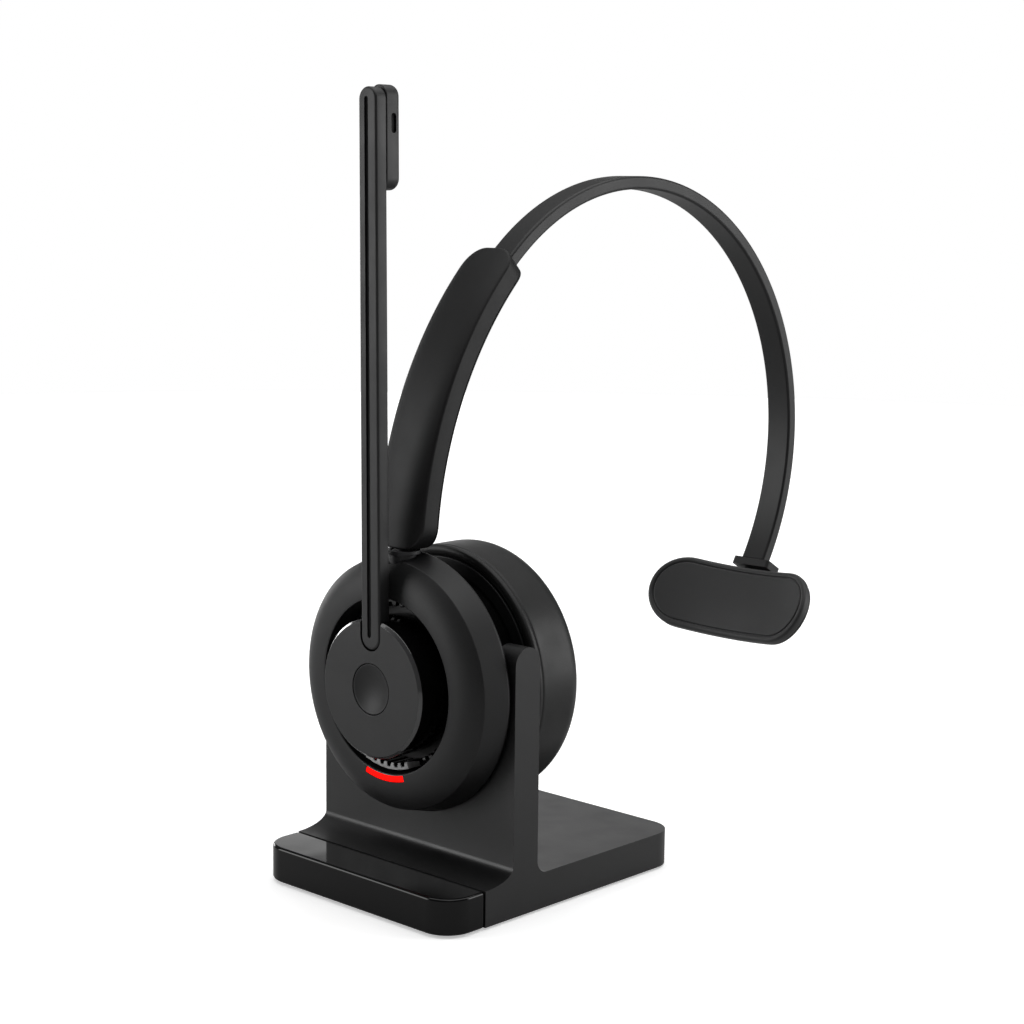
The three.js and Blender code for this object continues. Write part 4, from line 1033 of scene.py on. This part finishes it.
    def build(self) -> None:
        """Makes and fits the cup's pieces."""
        shell = self.fit(self.make_housing(), SATIN_ABS, Body.CUP, "cup_shell", "cup_front_housing")
        # A painted highlight: the recess's rim, in a narrow band behind the front, gets the paler edge finish.
        rim, lip = self.recess_radius + 0.25, self.front + self.painted_highlight_depth
        refinished(shell, PAINTED_HIGHLIGHT_EDGE, lambda at: (from_axis(at, self.centre) < rim) & (at[:, 1] < lip))
        self.fit(self.make_light(), RED_GUIDE, Body.CUP, "light_guide", "status_light_guide")
        self.fit(self.make_drum(), GLOSS_ABS, Body.CUP, "cup_shell", "cup_groove_drum")
        ring = self.fit(self.make_detent_ring(), GLOSS_ABS, Body.CUP, "grey_nylon", "detent_ring")
        # Painted light: the comb's teeth at the foot of the recess get a pale grey, for the light that falls on
        # them from above.
        comb = self.front + self.comb_depth + self.painted_light_band
        refinished(ring, PAINTED_LIGHT_COMB, lambda at: at[:, 1] < comb)
        cushion = self.fit(self.make_cushion(), PROTEIN_LEATHER, Body.CUP, "leatherette", "ear_cushion")
        self.fit(self.make_baffle(), SATIN_ABS, Body.CUP, "cup_shell", "speaker_baffle")
        self.fit(self.make_cloth(), ACOUSTIC_CLOTH, Body.CUP, "mesh_cloth", "acoustic_mesh")
        for side in ("left", "right"):
            self.fit(self.make_contact(side), GOLD, Body.CUP, "gold", f"charge_contact_{side}")
        self.fit(self.make_bush(), NYLON, Body.CUP, "grey_nylon", "swivel_bush")
        screws = (f"housing_screw_{number}" for number in (1, 2, 3))
        self.keep(ZINC, "hub_wave_washer", "mute_switch", "speaker_driver", *screws)
        self.keep(SOLDER_RESIST, "main_board")
        self.keep(CELL_FILM, "battery_cell")


# ---------------------------------------------------------------- microphone boom


@dataclass
class MicrophoneBoom(Assembly):
    """The hub disc, the long boom let into its face and the microphone pod behind its tip, in millimetres."""

    lean: float = 0.6
    end_radius: float = 3.15
    tip_radius: float = 2.95
    start: float = 9.6
    length: float = 141.4
    thickness: float = 3.4
    groove_width: float = 1.25
    groove_depth: float = 0.8
    groove_start: float = 12.5
    groove_end: float = 139.2
    groove_offset: float = -0.35
    pod_radius: float = 2.8
    pod_top: float = 142.0
    pod_length: float = 24.2
    hub_wall: float = 2.0
    button_hole: float = 6.3
    stem_hole: float = 3.3
    port_length: float = 4.6
    port_width: float = 1.6
    chamfer: float = 0.7
    hub_face: float = 5.0
    axle_collar: float = 9.2
    collar_depth: float = 3.8
    button_depth: float = 3.2
    dish: float = 1.25
    dish_share: float = 0.96
    button_fit: float = 0.14
    button_skirt: float = 2.2
    stem_radius: float = 3.0

    def __post_init__(self) -> None:
        """Reads the boom's places from the frame."""
        hub = Extent.of("boom_hub")
        self.centre = hub.middle
        self.face, self.back = float(hub.low[1]), float(hub.high[1])
        self.radius = float(hub.size[0]) / 2
        self.pod = Extent.of("mic_pod")

    def place(self, start: float) -> Warp:
        """The map from [across, along, depth behind start] to the frame, turned by the boom's lean."""
        turn = -math.radians(self.lean)

        def warp(points: Array) -> Array:
            """Turns the points about the cup's axis and lifts them to it."""
            x, s, h = np.moveaxis(points, -1, 0)
            return np.stack([x * math.cos(turn) + s * math.sin(turn), start + h,
                             self.centre[2] - x * math.sin(turn) + s * math.cos(turn)], -1)

        return warp

    def bar_outline(self, inset: float) -> Array:
        """The boom seen from the front, inset."""
        return capsule(self.start + inset, self.length - inset, self.end_radius - inset, self.tip_radius - inset)

    def make_hub(self) -> Object:
        """The hub: a turned disc with a chamfer that carries a painted highlight, a well for the button and a
        slot for the boom.
        """
        face, wall = self.face, self.hub_wall
        corners = [(self.button_hole, face), (self.radius - self.chamfer, face),
                   (self.radius, face + self.chamfer),
                   (self.radius, self.back), (self.radius - wall, self.back),
                   (self.radius - wall, face + self.hub_face), (self.axle_collar, face + self.hub_face),
                   (self.axle_collar, face + self.collar_depth), (self.stem_hole, face + self.collar_depth),
                   (self.stem_hole, face + self.button_depth), (self.button_hole, face + self.button_depth)]
        outline = fillet(corners, [0.12, 0.2, 0.3, 0.3, 0.2, 0.3, 0.1, 0.1, 0.1, 0.1, 0.2])
        piece = turned("boom_hub_disc", outline, self.centre)
        tool = plate("slot", lambda inset: self.bar_outline(inset - GAP), edge_rim(0, 4.7, 0, 0.3), 1,
                     self.place(face - 1))
        return joined(piece, tool, Join.CUT)

    def make_bar(self) -> Object:
        """The boom: a bar with round ends and broken edges, and a narrow groove down its face."""
        rim = edge_rim(0, self.thickness, 0.55, 0.4)
        piece = plate("boom_bar", self.bar_outline, rim, 2, self.place(self.face))
        half = self.groove_width / 2

        def groove(inset: float) -> Array:
            """The groove's outline, inset and moved off centre."""
            return capsule(self.groove_start + inset, self.groove_end - inset, half - inset, half - inset)

        offset = np.array([self.groove_offset, 0, 0])
        place = self.place(self.face - 1)
        tool = plate("groove", groove, edge_rim(0, 1 + self.groove_depth, 0, 0.25), 1,
                     lambda points: place(points + offset))
        return joined(piece, tool, Join.CUT)

    def make_pod(self) -> Object:
        """The microphone pod: a bar with round ends and soft edges, with its port in the right side."""

        def outline(inset: float) -> Array:
            """The pod seen from the front, inset."""
            return capsule(self.pod_top - self.pod_length + inset, self.pod_top - inset,
                           self.pod_radius - inset, self.pod_radius - inset, 12)

        depth = float(self.pod.size[1])
        rim = edge_rim(0, depth, 0.3, 1.3, 7)
        piece = plate("microphone_pod", outline, rim, 3, self.place(float(self.pod.low[1])))
        screen = Extent.of("mic_screen")
        port = capsule(-self.port_length / 2, self.port_length / 2, self.port_width / 2, self.port_width / 2, 4)
        hole = prism("port", port + screen.middle[1:], Axis.X, float(screen.low[0]), float(screen.low[0]) + 6)
        joined(piece, hole, Join.CUT)
        capsule_box = Extent.of("mic_capsule")
        round_hole = arc((float(capsule_box.middle[0]), float(capsule_box.middle[2])), 2.2, 0, 360, 40)[:-1]
        front = float(self.pod.low[1])
        return joined(piece, prism("seat", round_hole, Axis.Y, front - 1, front + 2), Join.CUT)

    def make_button(self) -> Object:
        """The mute button: a turned cap whose face is dished by the square of the radius, on its stem."""
        extent = Extent.of("mute_button")
        radius = float(extent.size[0]) / 2 + self.button_fit
        edge, end = float(extent.low[1]), float(extent.high[1])
        skirt, stem = edge + self.button_skirt, self.stem_radius
        share = np.linspace(0, self.dish_share, 20)
        dish = [(radius * s, edge + self.dish * (1 - (s / self.dish_share) ** 2)) for s in share]
        rest = [(radius, edge), (radius, skirt), (stem, skirt), (stem, end), (0, end)]
        radii = [0] * len(dish) + [0.2, 0.2, 0.2, 0.2, 0]
        return turned("mute_button_cap", fillet(dish + rest, radii), self.centre, steps=128)

    def build(self) -> None:
        """Makes and fits the boom's pieces."""
        hub = self.fit(self.make_hub(), FROSTED_ABS, Body.BOOM, "boom_shell", "boom_hub")
        # A painted highlight: the chamfer gets the paler edge finish; the hub's side stays black and glossy.
        edge, side = self.radius - self.chamfer, self.face + self.chamfer
        refinished(hub, PAINTED_HIGHLIGHT_EDGE, lambda at: (from_axis(at, self.centre) > edge) & (at[:, 1] < side))
        refinished(hub, GLOSS_ABS, lambda at: (from_axis(at, self.centre) > edge) & (at[:, 1] > side))
        self.fit(self.make_bar(), FROSTED_ABS, Body.BOOM, "boom_shell", "boom_arm")
        self.fit(self.make_pod(), FROSTED_ABS, Body.BOOM, "boom_shell", "mic_pod")
        self.fit(self.make_button(), SATIN_ABS, Body.BUTTON, "button", "mute_button")
        self.keep(STEEL, "hub_axle", "hub_retaining_clip", "mic_capsule")
        self.keep(ACOUSTIC_CLOTH, "mic_screen")


# ---------------------------------------------------------------- slider arm


@dataclass
class SliderArm(Assembly):
    """The crowned arm in two shells that holds the band, in millimetres."""

    radius: float = 98.4
    top_angle: float = 132.6
    width: float = 16.0
    side_thickness: float = 5.2
    crown: float = 0.95
    corner: float = 6.0
    edge: float = 0.5
    strip_radius: float = 97.3
    channel_width: float = 8.4
    channel_height: float = 4.0
    screw_angle: float = 156.0
    screw_side: float = 6.0
    grip_radius: float = 1.5
    seam_height: float = 0.45
    screw_hole: float = 1.2
    screw_cover: float = 0.6
    screw_reach: float = 4.5

    def __post_init__(self) -> None:
        """Reads the arm's places from the frame."""
        self.centre = pivot("headband_slide")
        self.pin = Extent.of("swivel_pin")
        self.bush = Extent.of("swivel_bush")
        foot = pivot("cup_swivel")[2]
        self.bottom_angle = 180 - math.degrees(math.asin((foot - self.centre[2]) / self.radius))
        self.length = self.radius * math.radians(self.bottom_angle - self.top_angle)

    def outline(self, inset: float) -> Array:
        """The arm laid flat: a long rectangle with round corners, its side cut in short stretches."""
        right, low, high = self.width / 2 - inset, inset, self.length - inset
        corner = self.corner - inset
        straight = np.linspace(low + corner, high - corner, 72)[1:-1]
        half = np.concatenate([
            [(0, low)], arc((right - corner, low + corner), corner, 270, 360, 14),
            np.stack([np.full_like(straight, right), straight], -1),
            arc((right - corner, high - corner), corner, 0, 90, 14), [(0, high)],
        ])
        return np.concatenate([half, (half * [-1, 1])[::-1][1:-1]])

    def place(self, crown: float, low: float, high: float) -> Warp:
        """The map from [across, along, height] to the arm's arc.

        A point lies on the circle about the band's centre, at the radius plus its height. The face at
        high is crowned: its height grows by the crown times one less the cube of the share across.
        """

        def warp(points: Array) -> Array:
            """Bends the points along the arc."""
            x, s, h = np.moveaxis(points, -1, 0)
            share = np.clip((h - low) / (high - low), 0, 1)
            raised = h + crown * share * (1 - np.abs(2 * x / self.width) ** 3)
            turn = math.radians(self.top_angle) + s / self.radius
            reach = self.radius + raised
            return np.stack([x, self.centre[1] + reach * np.cos(turn), self.centre[2] + reach * np.sin(turn)], -1)

        return warp

    def channel(self) -> Object:
        """The space for the strip, as a tool: a rectangle carried along the arc, open at the arm's top."""
        turn = np.radians(np.linspace(self.top_angle - 12, self.bottom_angle - 4, 60))
        half = np.array([self.channel_width, self.channel_height]) / 2
        section = box_outline(tuple(-half), tuple(half))
        reach = self.strip_radius + section[None, :, 1]
        rings = np.stack([np.broadcast_to(section[None, :, 0], (len(turn), len(section))),
                          self.centre[1] + reach * np.cos(turn)[:, None],
                          self.centre[2] + reach * np.sin(turn)[:, None]], -1)
        return loft("channel", rings)

    def shell(self, name: str, sign: int) -> Object:
        """One shell of the arm, from the seam to its crowned face, hollow for the strip and the neck pin.

        The outer shell takes in the arm's sides, so that the seam lies next to the inner face.

        Args:
            name: The piece's name.
            sign: 1 for the outer shell, -1 for the inner.

        Returns:
            The shell.
        """
        face = self.side_thickness / 2
        seam = sign * (self.seam_height - face) + SEAM / 2
        edge = self.edge if sign > 0 else self.seam_height / 2
        rim = edge_rim(seam, face, SEAM, edge) * [1, sign]
        piece = plate(name, self.outline, rim, 12, self.place(sign * self.crown, sign * seam, sign * face))
        joined(piece, self.channel(), Join.CUT)
        hole = arc(tuple(self.pin.middle[:2]), self.grip_radius + GAP, 0, 360, 40)[:-1]
        joined(piece, prism("neck", hole, Axis.Z, 60.0, self.pin.high[2] + GAP), Join.CUT)
        along = self.radius * math.radians(self.screw_angle - self.top_angle)
        heights = np.array([-self.screw_reach, face - self.screw_cover])
        for side in (-1, 1):
            ring = arc((side * self.screw_side, along), self.screw_hole, 0, 360, 32)[:-1]
            flat = np.broadcast_to(ring, (2,) + ring.shape)
            points = np.concatenate([flat, np.broadcast_to(heights[:, None, None], (2, len(ring), 1))], -1)
            joined(piece, loft("hole", self.place(0, -1, 0)(points)), Join.CUT)
        return piece

    def make_pin(self) -> Object:
        """The swivel pin between cup and arm: a turned post with a flange below the bush."""
        low, high = float(self.pin.low[2]), float(self.pin.high[2])
        flange, grip, step = float(self.pin.size[0]) / 2, self.grip_radius, pivot("cup_swivel")[2] - GAP
        corners = [(0, low), (flange, low), (flange, low + 1.1), (2.7, low + 1.1), (2.7, step), (grip, step),
                   (grip, high), (0, high)]
        outline = fillet(corners, [0, 0.2, 0.2, 0.2, 0.2, 0.1, 0.3, 0])
        return turned("neck_swivel_pin", outline, self.pin.middle, Axis.Z, 72)

    def build(self) -> None:
        """Makes and fits the arm's pieces."""
        outer, inner = self.shell("arm_outer_shell", 1), self.shell("arm_inner_shell", -1)
        self.fit(outer, ARM_ABS, Body.ARM, "arm_shell", "slider_outer_shell")
        self.fit(inner, ARM_ABS, Body.ARM, "arm_shell", "slider_inner_shell")
        self.fit(self.make_pin(), NYLON, Body.ARM, "grey_nylon", "swivel_pin")
        self.keep(ZINC, "slider_screw_left", "slider_screw_right")
        self.keep(ACOUSTIC_CLOTH, "slider_friction_pad")


# ---------------------------------------------------------------- headband and temple pad


@dataclass
class Headband(Assembly):
    """The strip over the head, its bracket and the hinged temple pad, in millimetres."""

    strip_radius: float = 97.3
    radius: float = 70.1
    turn: float = 129.6
    tail_length: float = 66.0
    tilt: float = 30.8
    width: float = 7.8
    thickness: float = 3.4
    edge: float = 0.7
    end_length: float = 1.65
    pad_length: float = 54.7
    pad_height: float = 21.5
    pad_drop: float = 16.2
    pad_curve: float = 75.0
    pad_forward: float = 3.5
    pad_soft: float = 2.4
    pad_back: float = 1.3
    hinge_back: float = 2.7
    hinge_drop: float = 7.35
    ear_radius: float = 2.0
    pin_hole: float = 1.2
    tongue: float = 7.0
    shoulder: tuple[float, float] = (-4.15, -1.95)
    shoulder_width: float = 12.6
    shoulder_front: float = 2.2
    shoulder_back: float = 4.3
    ear_width: float = 2.4
    back_inset: float = 0.5
    pin_radius: float = 0.9

    def __post_init__(self) -> None:
        """Works out the band's second centre and the frame of its lower end."""
        arm_centre = pivot("headband_slide")[1:]
        way = np.array([math.cos(math.radians(self.turn)), math.sin(math.radians(self.turn))])
        self.arm_centre = arm_centre
        self.centre = arm_centre + (self.strip_radius - self.radius) * way
        tilt = math.radians(self.tilt)
        end = self.centre + self.radius * np.array([math.cos(tilt), -math.sin(tilt)])
        place = Matrix.Translation(Vector((0, *end)) * MM)
        self.to_frame = place @ Matrix.Rotation(-tilt, 4, "X")

    def path(self) -> tuple[Array, Array]:
        """The strip's centre line as points in Y and Z, and the way outwards at each.

        It runs on the arm's circle, then on the smaller circle over the head, which touches it, and
        ends in a short straight stretch down to the bracket.
        """
        tail = np.radians(self.turn) + np.linspace(self.tail_length / self.strip_radius, 0, 40)
        over = np.radians(np.linspace(self.turn, -self.tilt, 132))[1:]
        down = np.linspace(0, self.end_length, 4)[1:, None]
        turn = np.concatenate([tail, over, np.full(3, over[-1])])
        out = np.stack([np.cos(turn), np.sin(turn)], -1)
        points = np.concatenate([
            self.arm_centre + self.strip_radius * out[:40],
            self.centre + self.radius * out[40:171],
            self.centre + self.radius * out[171:] + down * [out[-1, 1], -out[-1, 0]],
        ])
        return points, out

    def make_strip(self) -> Object:
        """The strip: a rounded rectangle carried along the path, square to it."""
        points, out = self.path()
        half = np.array([self.width, self.thickness]) / 2
        section = box_outline(tuple(-half), tuple(half), self.edge)
        rings = np.zeros((len(points), len(section), 3))
        rings[..., 0] = section[:, 0]
        rings[..., 1:] = points[:, None] + out[:, None] * section[None, :, 1, None]
        return loft("headband_spring_strip", rings)

    def placed(self, piece: Object) -> Object:
        """Moves a piece drawn about the strip's lower end to its place in the frame."""
        piece.data.transform(self.to_frame)
        return piece

    def hinge_hole(self) -> Object:
        """The hinge pin's bore, as a tool."""
        hole = arc((self.hinge_back, -self.hinge_drop), self.pin_hole, 0, 360, 40)[:-1]
        return prism("bore", hole, Axis.X, -20, 20)

    def make_bracket(self) -> Object:
        """The bracket: a broad shoulder under the strip and a tongue down to the hinge's knuckle."""
        half = self.shoulder_width / 2
        shoulder = box_outline((-half, -self.shoulder_front), (half, self.shoulder_back), 1.0)
        piece = prism("pad_bracket_moulding", shoulder, Axis.Z, *self.shoulder)
        back, drop, half = self.hinge_back, self.hinge_drop, self.tongue / 2
        knuckle = np.concatenate([
            arc((back, -drop), self.ear_radius, 180, 360, 24),
            [(back + 1.6, -3.0), (back - 1.6, -3.0)],
        ])
        joined(piece, prism("tongue", knuckle, Axis.X, -half, half), Join.ADD)
        joined(piece, self.hinge_hole(), Join.CUT)
        return self.placed(softened(piece, 0.3, 3))

    def pad_outline(self, inset: float) -> Array:
        """The pad seen from the head, as [up, along]: a bar with round ends, inset."""
        half = self.pad_length / 2 - inset
        return capsule(-half, half, self.pad_height / 2 - inset, self.pad_height / 2 - inset, 60)

    def pad_place(self, crown: float = 0.0) -> Warp:
        """The map from [up, along, depth] to the curved pad: depth is measured out from its circle.

        The face stands proud by the crown times what is left of one after the squares of the shares
        up and along.
        """
        centre = -self.pad_forward - self.pad_curve

        def warp(points: Array) -> Array:
            """Bends the pad about its upright axis."""
            up, along, depth = np.moveaxis(points, -1, 0)
            middle = np.clip(1 - (2 * up / self.pad_height) ** 2, 0, 1) * np.clip(
                1 - (2 * along / self.pad_length) ** 4, 0, 1)
            reach = self.pad_curve + depth - crown * middle * (depth < self.pad_soft / 2)
            return np.stack([along, centre + np.sqrt(reach ** 2 - along ** 2), up - self.pad_drop], -1)

        return warp

    def make_pad(self) -> Object:
        """The pad's soft skin: a gently crowned face, a narrow groove near its edge and a rounded lip.

        The face's height near the edge is less by 0.4 mm times a bell curve about 1.75 mm from the edge.
        """
        inset = np.linspace(3.4, 1.0, 25)
        face = np.stack([inset, 0.4 * np.exp(-(((inset - 1.75) / 0.24) ** 2))], -1)
        turn = np.radians(np.linspace(0, 90, 8))[1:]
        lip = np.stack([1 - np.sin(turn), 1 - np.cos(turn)], -1)
        back = edge_rim(0, self.pad_soft, 0, 0.35)[-7:]
        rim = np.concatenate([face, lip, back])
        piece = plate("temple_pad_skin", self.pad_outline, rim, 10, self.pad_place(0.5), sharp=50)
        return self.placed(piece)

    def make_backing(self) -> Object:
        """The pad's stiff back: a bent plate a little smaller than the skin, with two hinge ears."""
        low = self.pad_soft + SEAM
        rim = edge_rim(low, low + self.pad_back, 0.1, 0.45)
        piece = plate("temple_pad_backing", lambda inset: self.pad_outline(inset + self.back_inset), rim, 8,
                      self.pad_place())
        for side in (-1, 1):
            inner = self.tongue / 2 + GAP
            reach = sorted((side * inner, side * (inner + self.ear_width)))
            foot = -self.pad_forward + low + 0.4
            ear = np.concatenate([
                [(foot, -self.hinge_drop - self.ear_radius)],
                arc((self.hinge_back, -self.hinge_drop), self.ear_radius, 270, 450, 24),
                [(foot, -self.hinge_drop + self.ear_radius)],
            ])
            joined(piece, prism("ear", ear, Axis.X, *reach), Join.ADD)
        joined(piece, self.hinge_hole(), Join.CUT)
        return self.placed(piece)

    def make_hinge_pin(self) -> Object:
        """The hinge pin: a ground rod with broken ends, turned about its own axis."""
        half = self.tongue / 2 + GAP + self.ear_width
        radius = self.pin_radius
        corners = [(0, -half), (radius, -half), (radius, half), (0, half)]
        centre = np.array([0, self.hinge_back, -self.hinge_drop])
        return self.placed(turned("pad_hinge_rod", fillet(corners, [0, 0.2, 0.2, 0]), centre, Axis.X, 48))

    def build(self) -> None:
        """Makes and fits the band's and the pad's pieces."""
        self.fit(self.make_strip(), BAND_ABS, Body.BAND, "band_strip", "headband_strip")
        self.fit(self.make_bracket(), SATIN_ABS, Body.BAND, "pad_shell", "pad_bracket")
        skin = self.fit(self.make_pad(), PAD_SKIN, Body.PAD, "soft_pad", "pad_cushion")
        self.fit(self.make_backing(), SATIN_ABS, Body.PAD, "pad_shell", "pad_backing")
        self.fit(self.make_hinge_pin(), STEEL, Body.PAD, "steel", "pad_hinge_pin")
        self.keep(NYLON, "band_end_stop")


# ---------------------------------------------------------------- studio


@dataclass(frozen=True)
class Softbox:
    """A square lamp behind a diffuser: its place, aim and sides in metres and its power in watts."""

    name: str
    place: tuple[float, float, float]
    aim: tuple[float, float, float]
    size: tuple[float, float]
    power: float

    def hang(self) -> None:
        """Adds the lamp and turns its face to its aim."""
        lamp = bpy.data.lights.new(self.name, "AREA")
        lamp.shape = "RECTANGLE"
        lamp.size, lamp.size_y = self.size
        lamp.energy = self.power
        holder = bpy.data.objects.new(self.name, lamp)
        bpy.context.scene.collection.objects.link(holder)
        holder.location = self.place
        way = Vector(self.aim) - Vector(self.place)
        holder.rotation_euler = way.to_track_quat("-Z", "Y").to_euler()


@dataclass
class Studio:
    """The pale floor, the camera and the lamps. Lengths in metres, angles in radians."""

    eye: tuple[float, float, float] = (0.36177, -0.37338, 0.17270)
    yaw: float = -0.75184
    pitch: float = 0.15326
    roll: float = 0.011656
    lens: float = 74.63
    sensor: float = 36.0
    floor_radius: float = 1.25
    room_light: float = 0.12
    floor_bounce: str = "#c4c4c4"
    floor_glow: float = 0.42
    lamps: tuple[Softbox, ...] = (
        Softbox("overhead", (0.0, 0.3, 1.9), (0, 0.1, 0), (2.6, 2.6), 36.0),
        Softbox("left_front", (-0.8, -0.85, 0.3), (0, 0, 0.08), (0.6, 0.8), 6.4),
        Softbox("right_back", (0.8, 0.85, 0.3), (0, 0, 0.08), (0.6, 0.8), 6.5),
        Softbox("left_back", (-0.95, 0.95, 0.22), (0, 0, 0.05), (0.9, 0.45), 1.3),
        Softbox("left_edge", (-1.15, 0.24, 0.15), (0, 0, 0.1), (0.45, 0.5), 3.0),
    )

    def place_camera(self) -> None:
        """Aims the camera: forward from yaw and pitch, then turned about its own axis by the roll."""
        sin_yaw, cos_yaw, sin_pitch, cos_pitch = (
            math.sin(self.yaw), math.cos(self.yaw), math.sin(self.pitch), math.cos(self.pitch))
        forward = Vector((sin_yaw * cos_pitch, cos_yaw * cos_pitch, -sin_pitch))
        right = Vector((cos_yaw, -sin_yaw, 0))
        up = right.cross(forward)
        right, up = (right * math.cos(self.roll) + up * math.sin(self.roll),
                     up * math.cos(self.roll) - right * math.sin(self.roll))
        camera = bpy.data.cameras.new("product_camera")
        camera.lens = self.lens
        camera.sensor_width = self.sensor
        camera.clip_start, camera.clip_end = 0.02, 60.0
        holder = bpy.data.objects.new("product_camera", camera)
        bpy.context.scene.collection.objects.link(holder)
        holder.matrix_world = Matrix.Translation(self.eye) @ Matrix((right, up, -forward)).transposed().to_4x4()
        bpy.context.scene.camera = holder

    def lay_floor(self) -> None:
        """Lays the pale floor at the height that the stand rests on. It throws little light back up."""
        ring = arc((0.0, 0.0), self.floor_radius / MM, 0, 360, 96)[:-1]
        floor = prism("studio_floor", ring, Axis.Z, -20.0, -0.05)
        paint = bpy.data.materials.new("studio_floor_paint")
        paint.use_nodes = True
        tree = paint.node_tree
        shader = tree.nodes["Principled BSDF"]
        noise = add(tree, "TexNoise", {"Vector": add(tree, "TexCoord").outputs["Object"], "Scale": 3.0})
        ramp = add(tree, "ValToRGB", {"Fac": noise.outputs["Fac"]})
        ramp.color_ramp.elements[0].color = linear("#f4f4f4")
        ramp.color_ramp.elements[1].color = linear("#f7f7f7")
        seen = add(tree, "LightPath").outputs["Is Camera Ray"]
        shade = add(tree, "MixRGB", {"Fac": seen, 1: linear(self.floor_bounce), 2: ramp.outputs["Color"]})
        tree.links.new(shade.outputs[0], shader.inputs["Base Color"])
        glow = add(tree, "Math", {0: seen, 1: self.floor_glow}, operation="MULTIPLY").outputs[0]
        tree.links.new(glow, shader.inputs["Emission Strength"])
        shader.inputs["Emission Color"].default_value = linear("#ffffff")
        shader.inputs["Roughness"].default_value = 0.9
        shader.inputs["Specular IOR Level"].default_value = 0.1
        floor.data.materials.append(paint)

    def light(self) -> None:
        """Hangs the lamps. The backdrop is white where it is seen, and gives a low even light."""
        world = bpy.data.worlds.new("studio_room")
        bpy.context.scene.world = world
        bpy.context.scene.view_settings.view_transform = "Standard"
        world.use_nodes = True
        tree = world.node_tree
        room = tree.nodes["Background"]
        room.inputs["Color"].default_value = linear("#ffffff")
        room.inputs["Strength"].default_value = self.room_light
        backdrop = add(tree, "Background", {"Color": linear("#ffffff"), "Strength": 1.0})
        seen = add(tree, "LightPath").outputs["Is Camera Ray"]
        both = add(tree, "MixShader", {0: seen, 1: room.outputs[0], 2: backdrop.outputs[0]})
        tree.links.new(both.outputs[0], tree.nodes["World Output"].inputs["Surface"])
        for lamp in self.lamps:
            lamp.hang()

    def build(self) -> None:
        """Sets up the whole studio."""
        self.place_camera()
        self.lay_floor()
        self.light()


def main() -> None:
    """Builds the studio and the sub-assemblies in order."""
    logging.basicConfig(level=logging.INFO, format="%(name)s: %(message)s")
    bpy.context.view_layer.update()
    Studio().build()
    for assembly in (ChargingStand(), EarCup(), MicrophoneBoom(), SliderArm(), Headband()):
        assembly.build()
        for piece in assembly.pieces:
            log.info("%s: %s has %d faces", type(assembly).__name__, piece.name, len(piece.data.polygons))


if __name__ == "__main__":
    main()
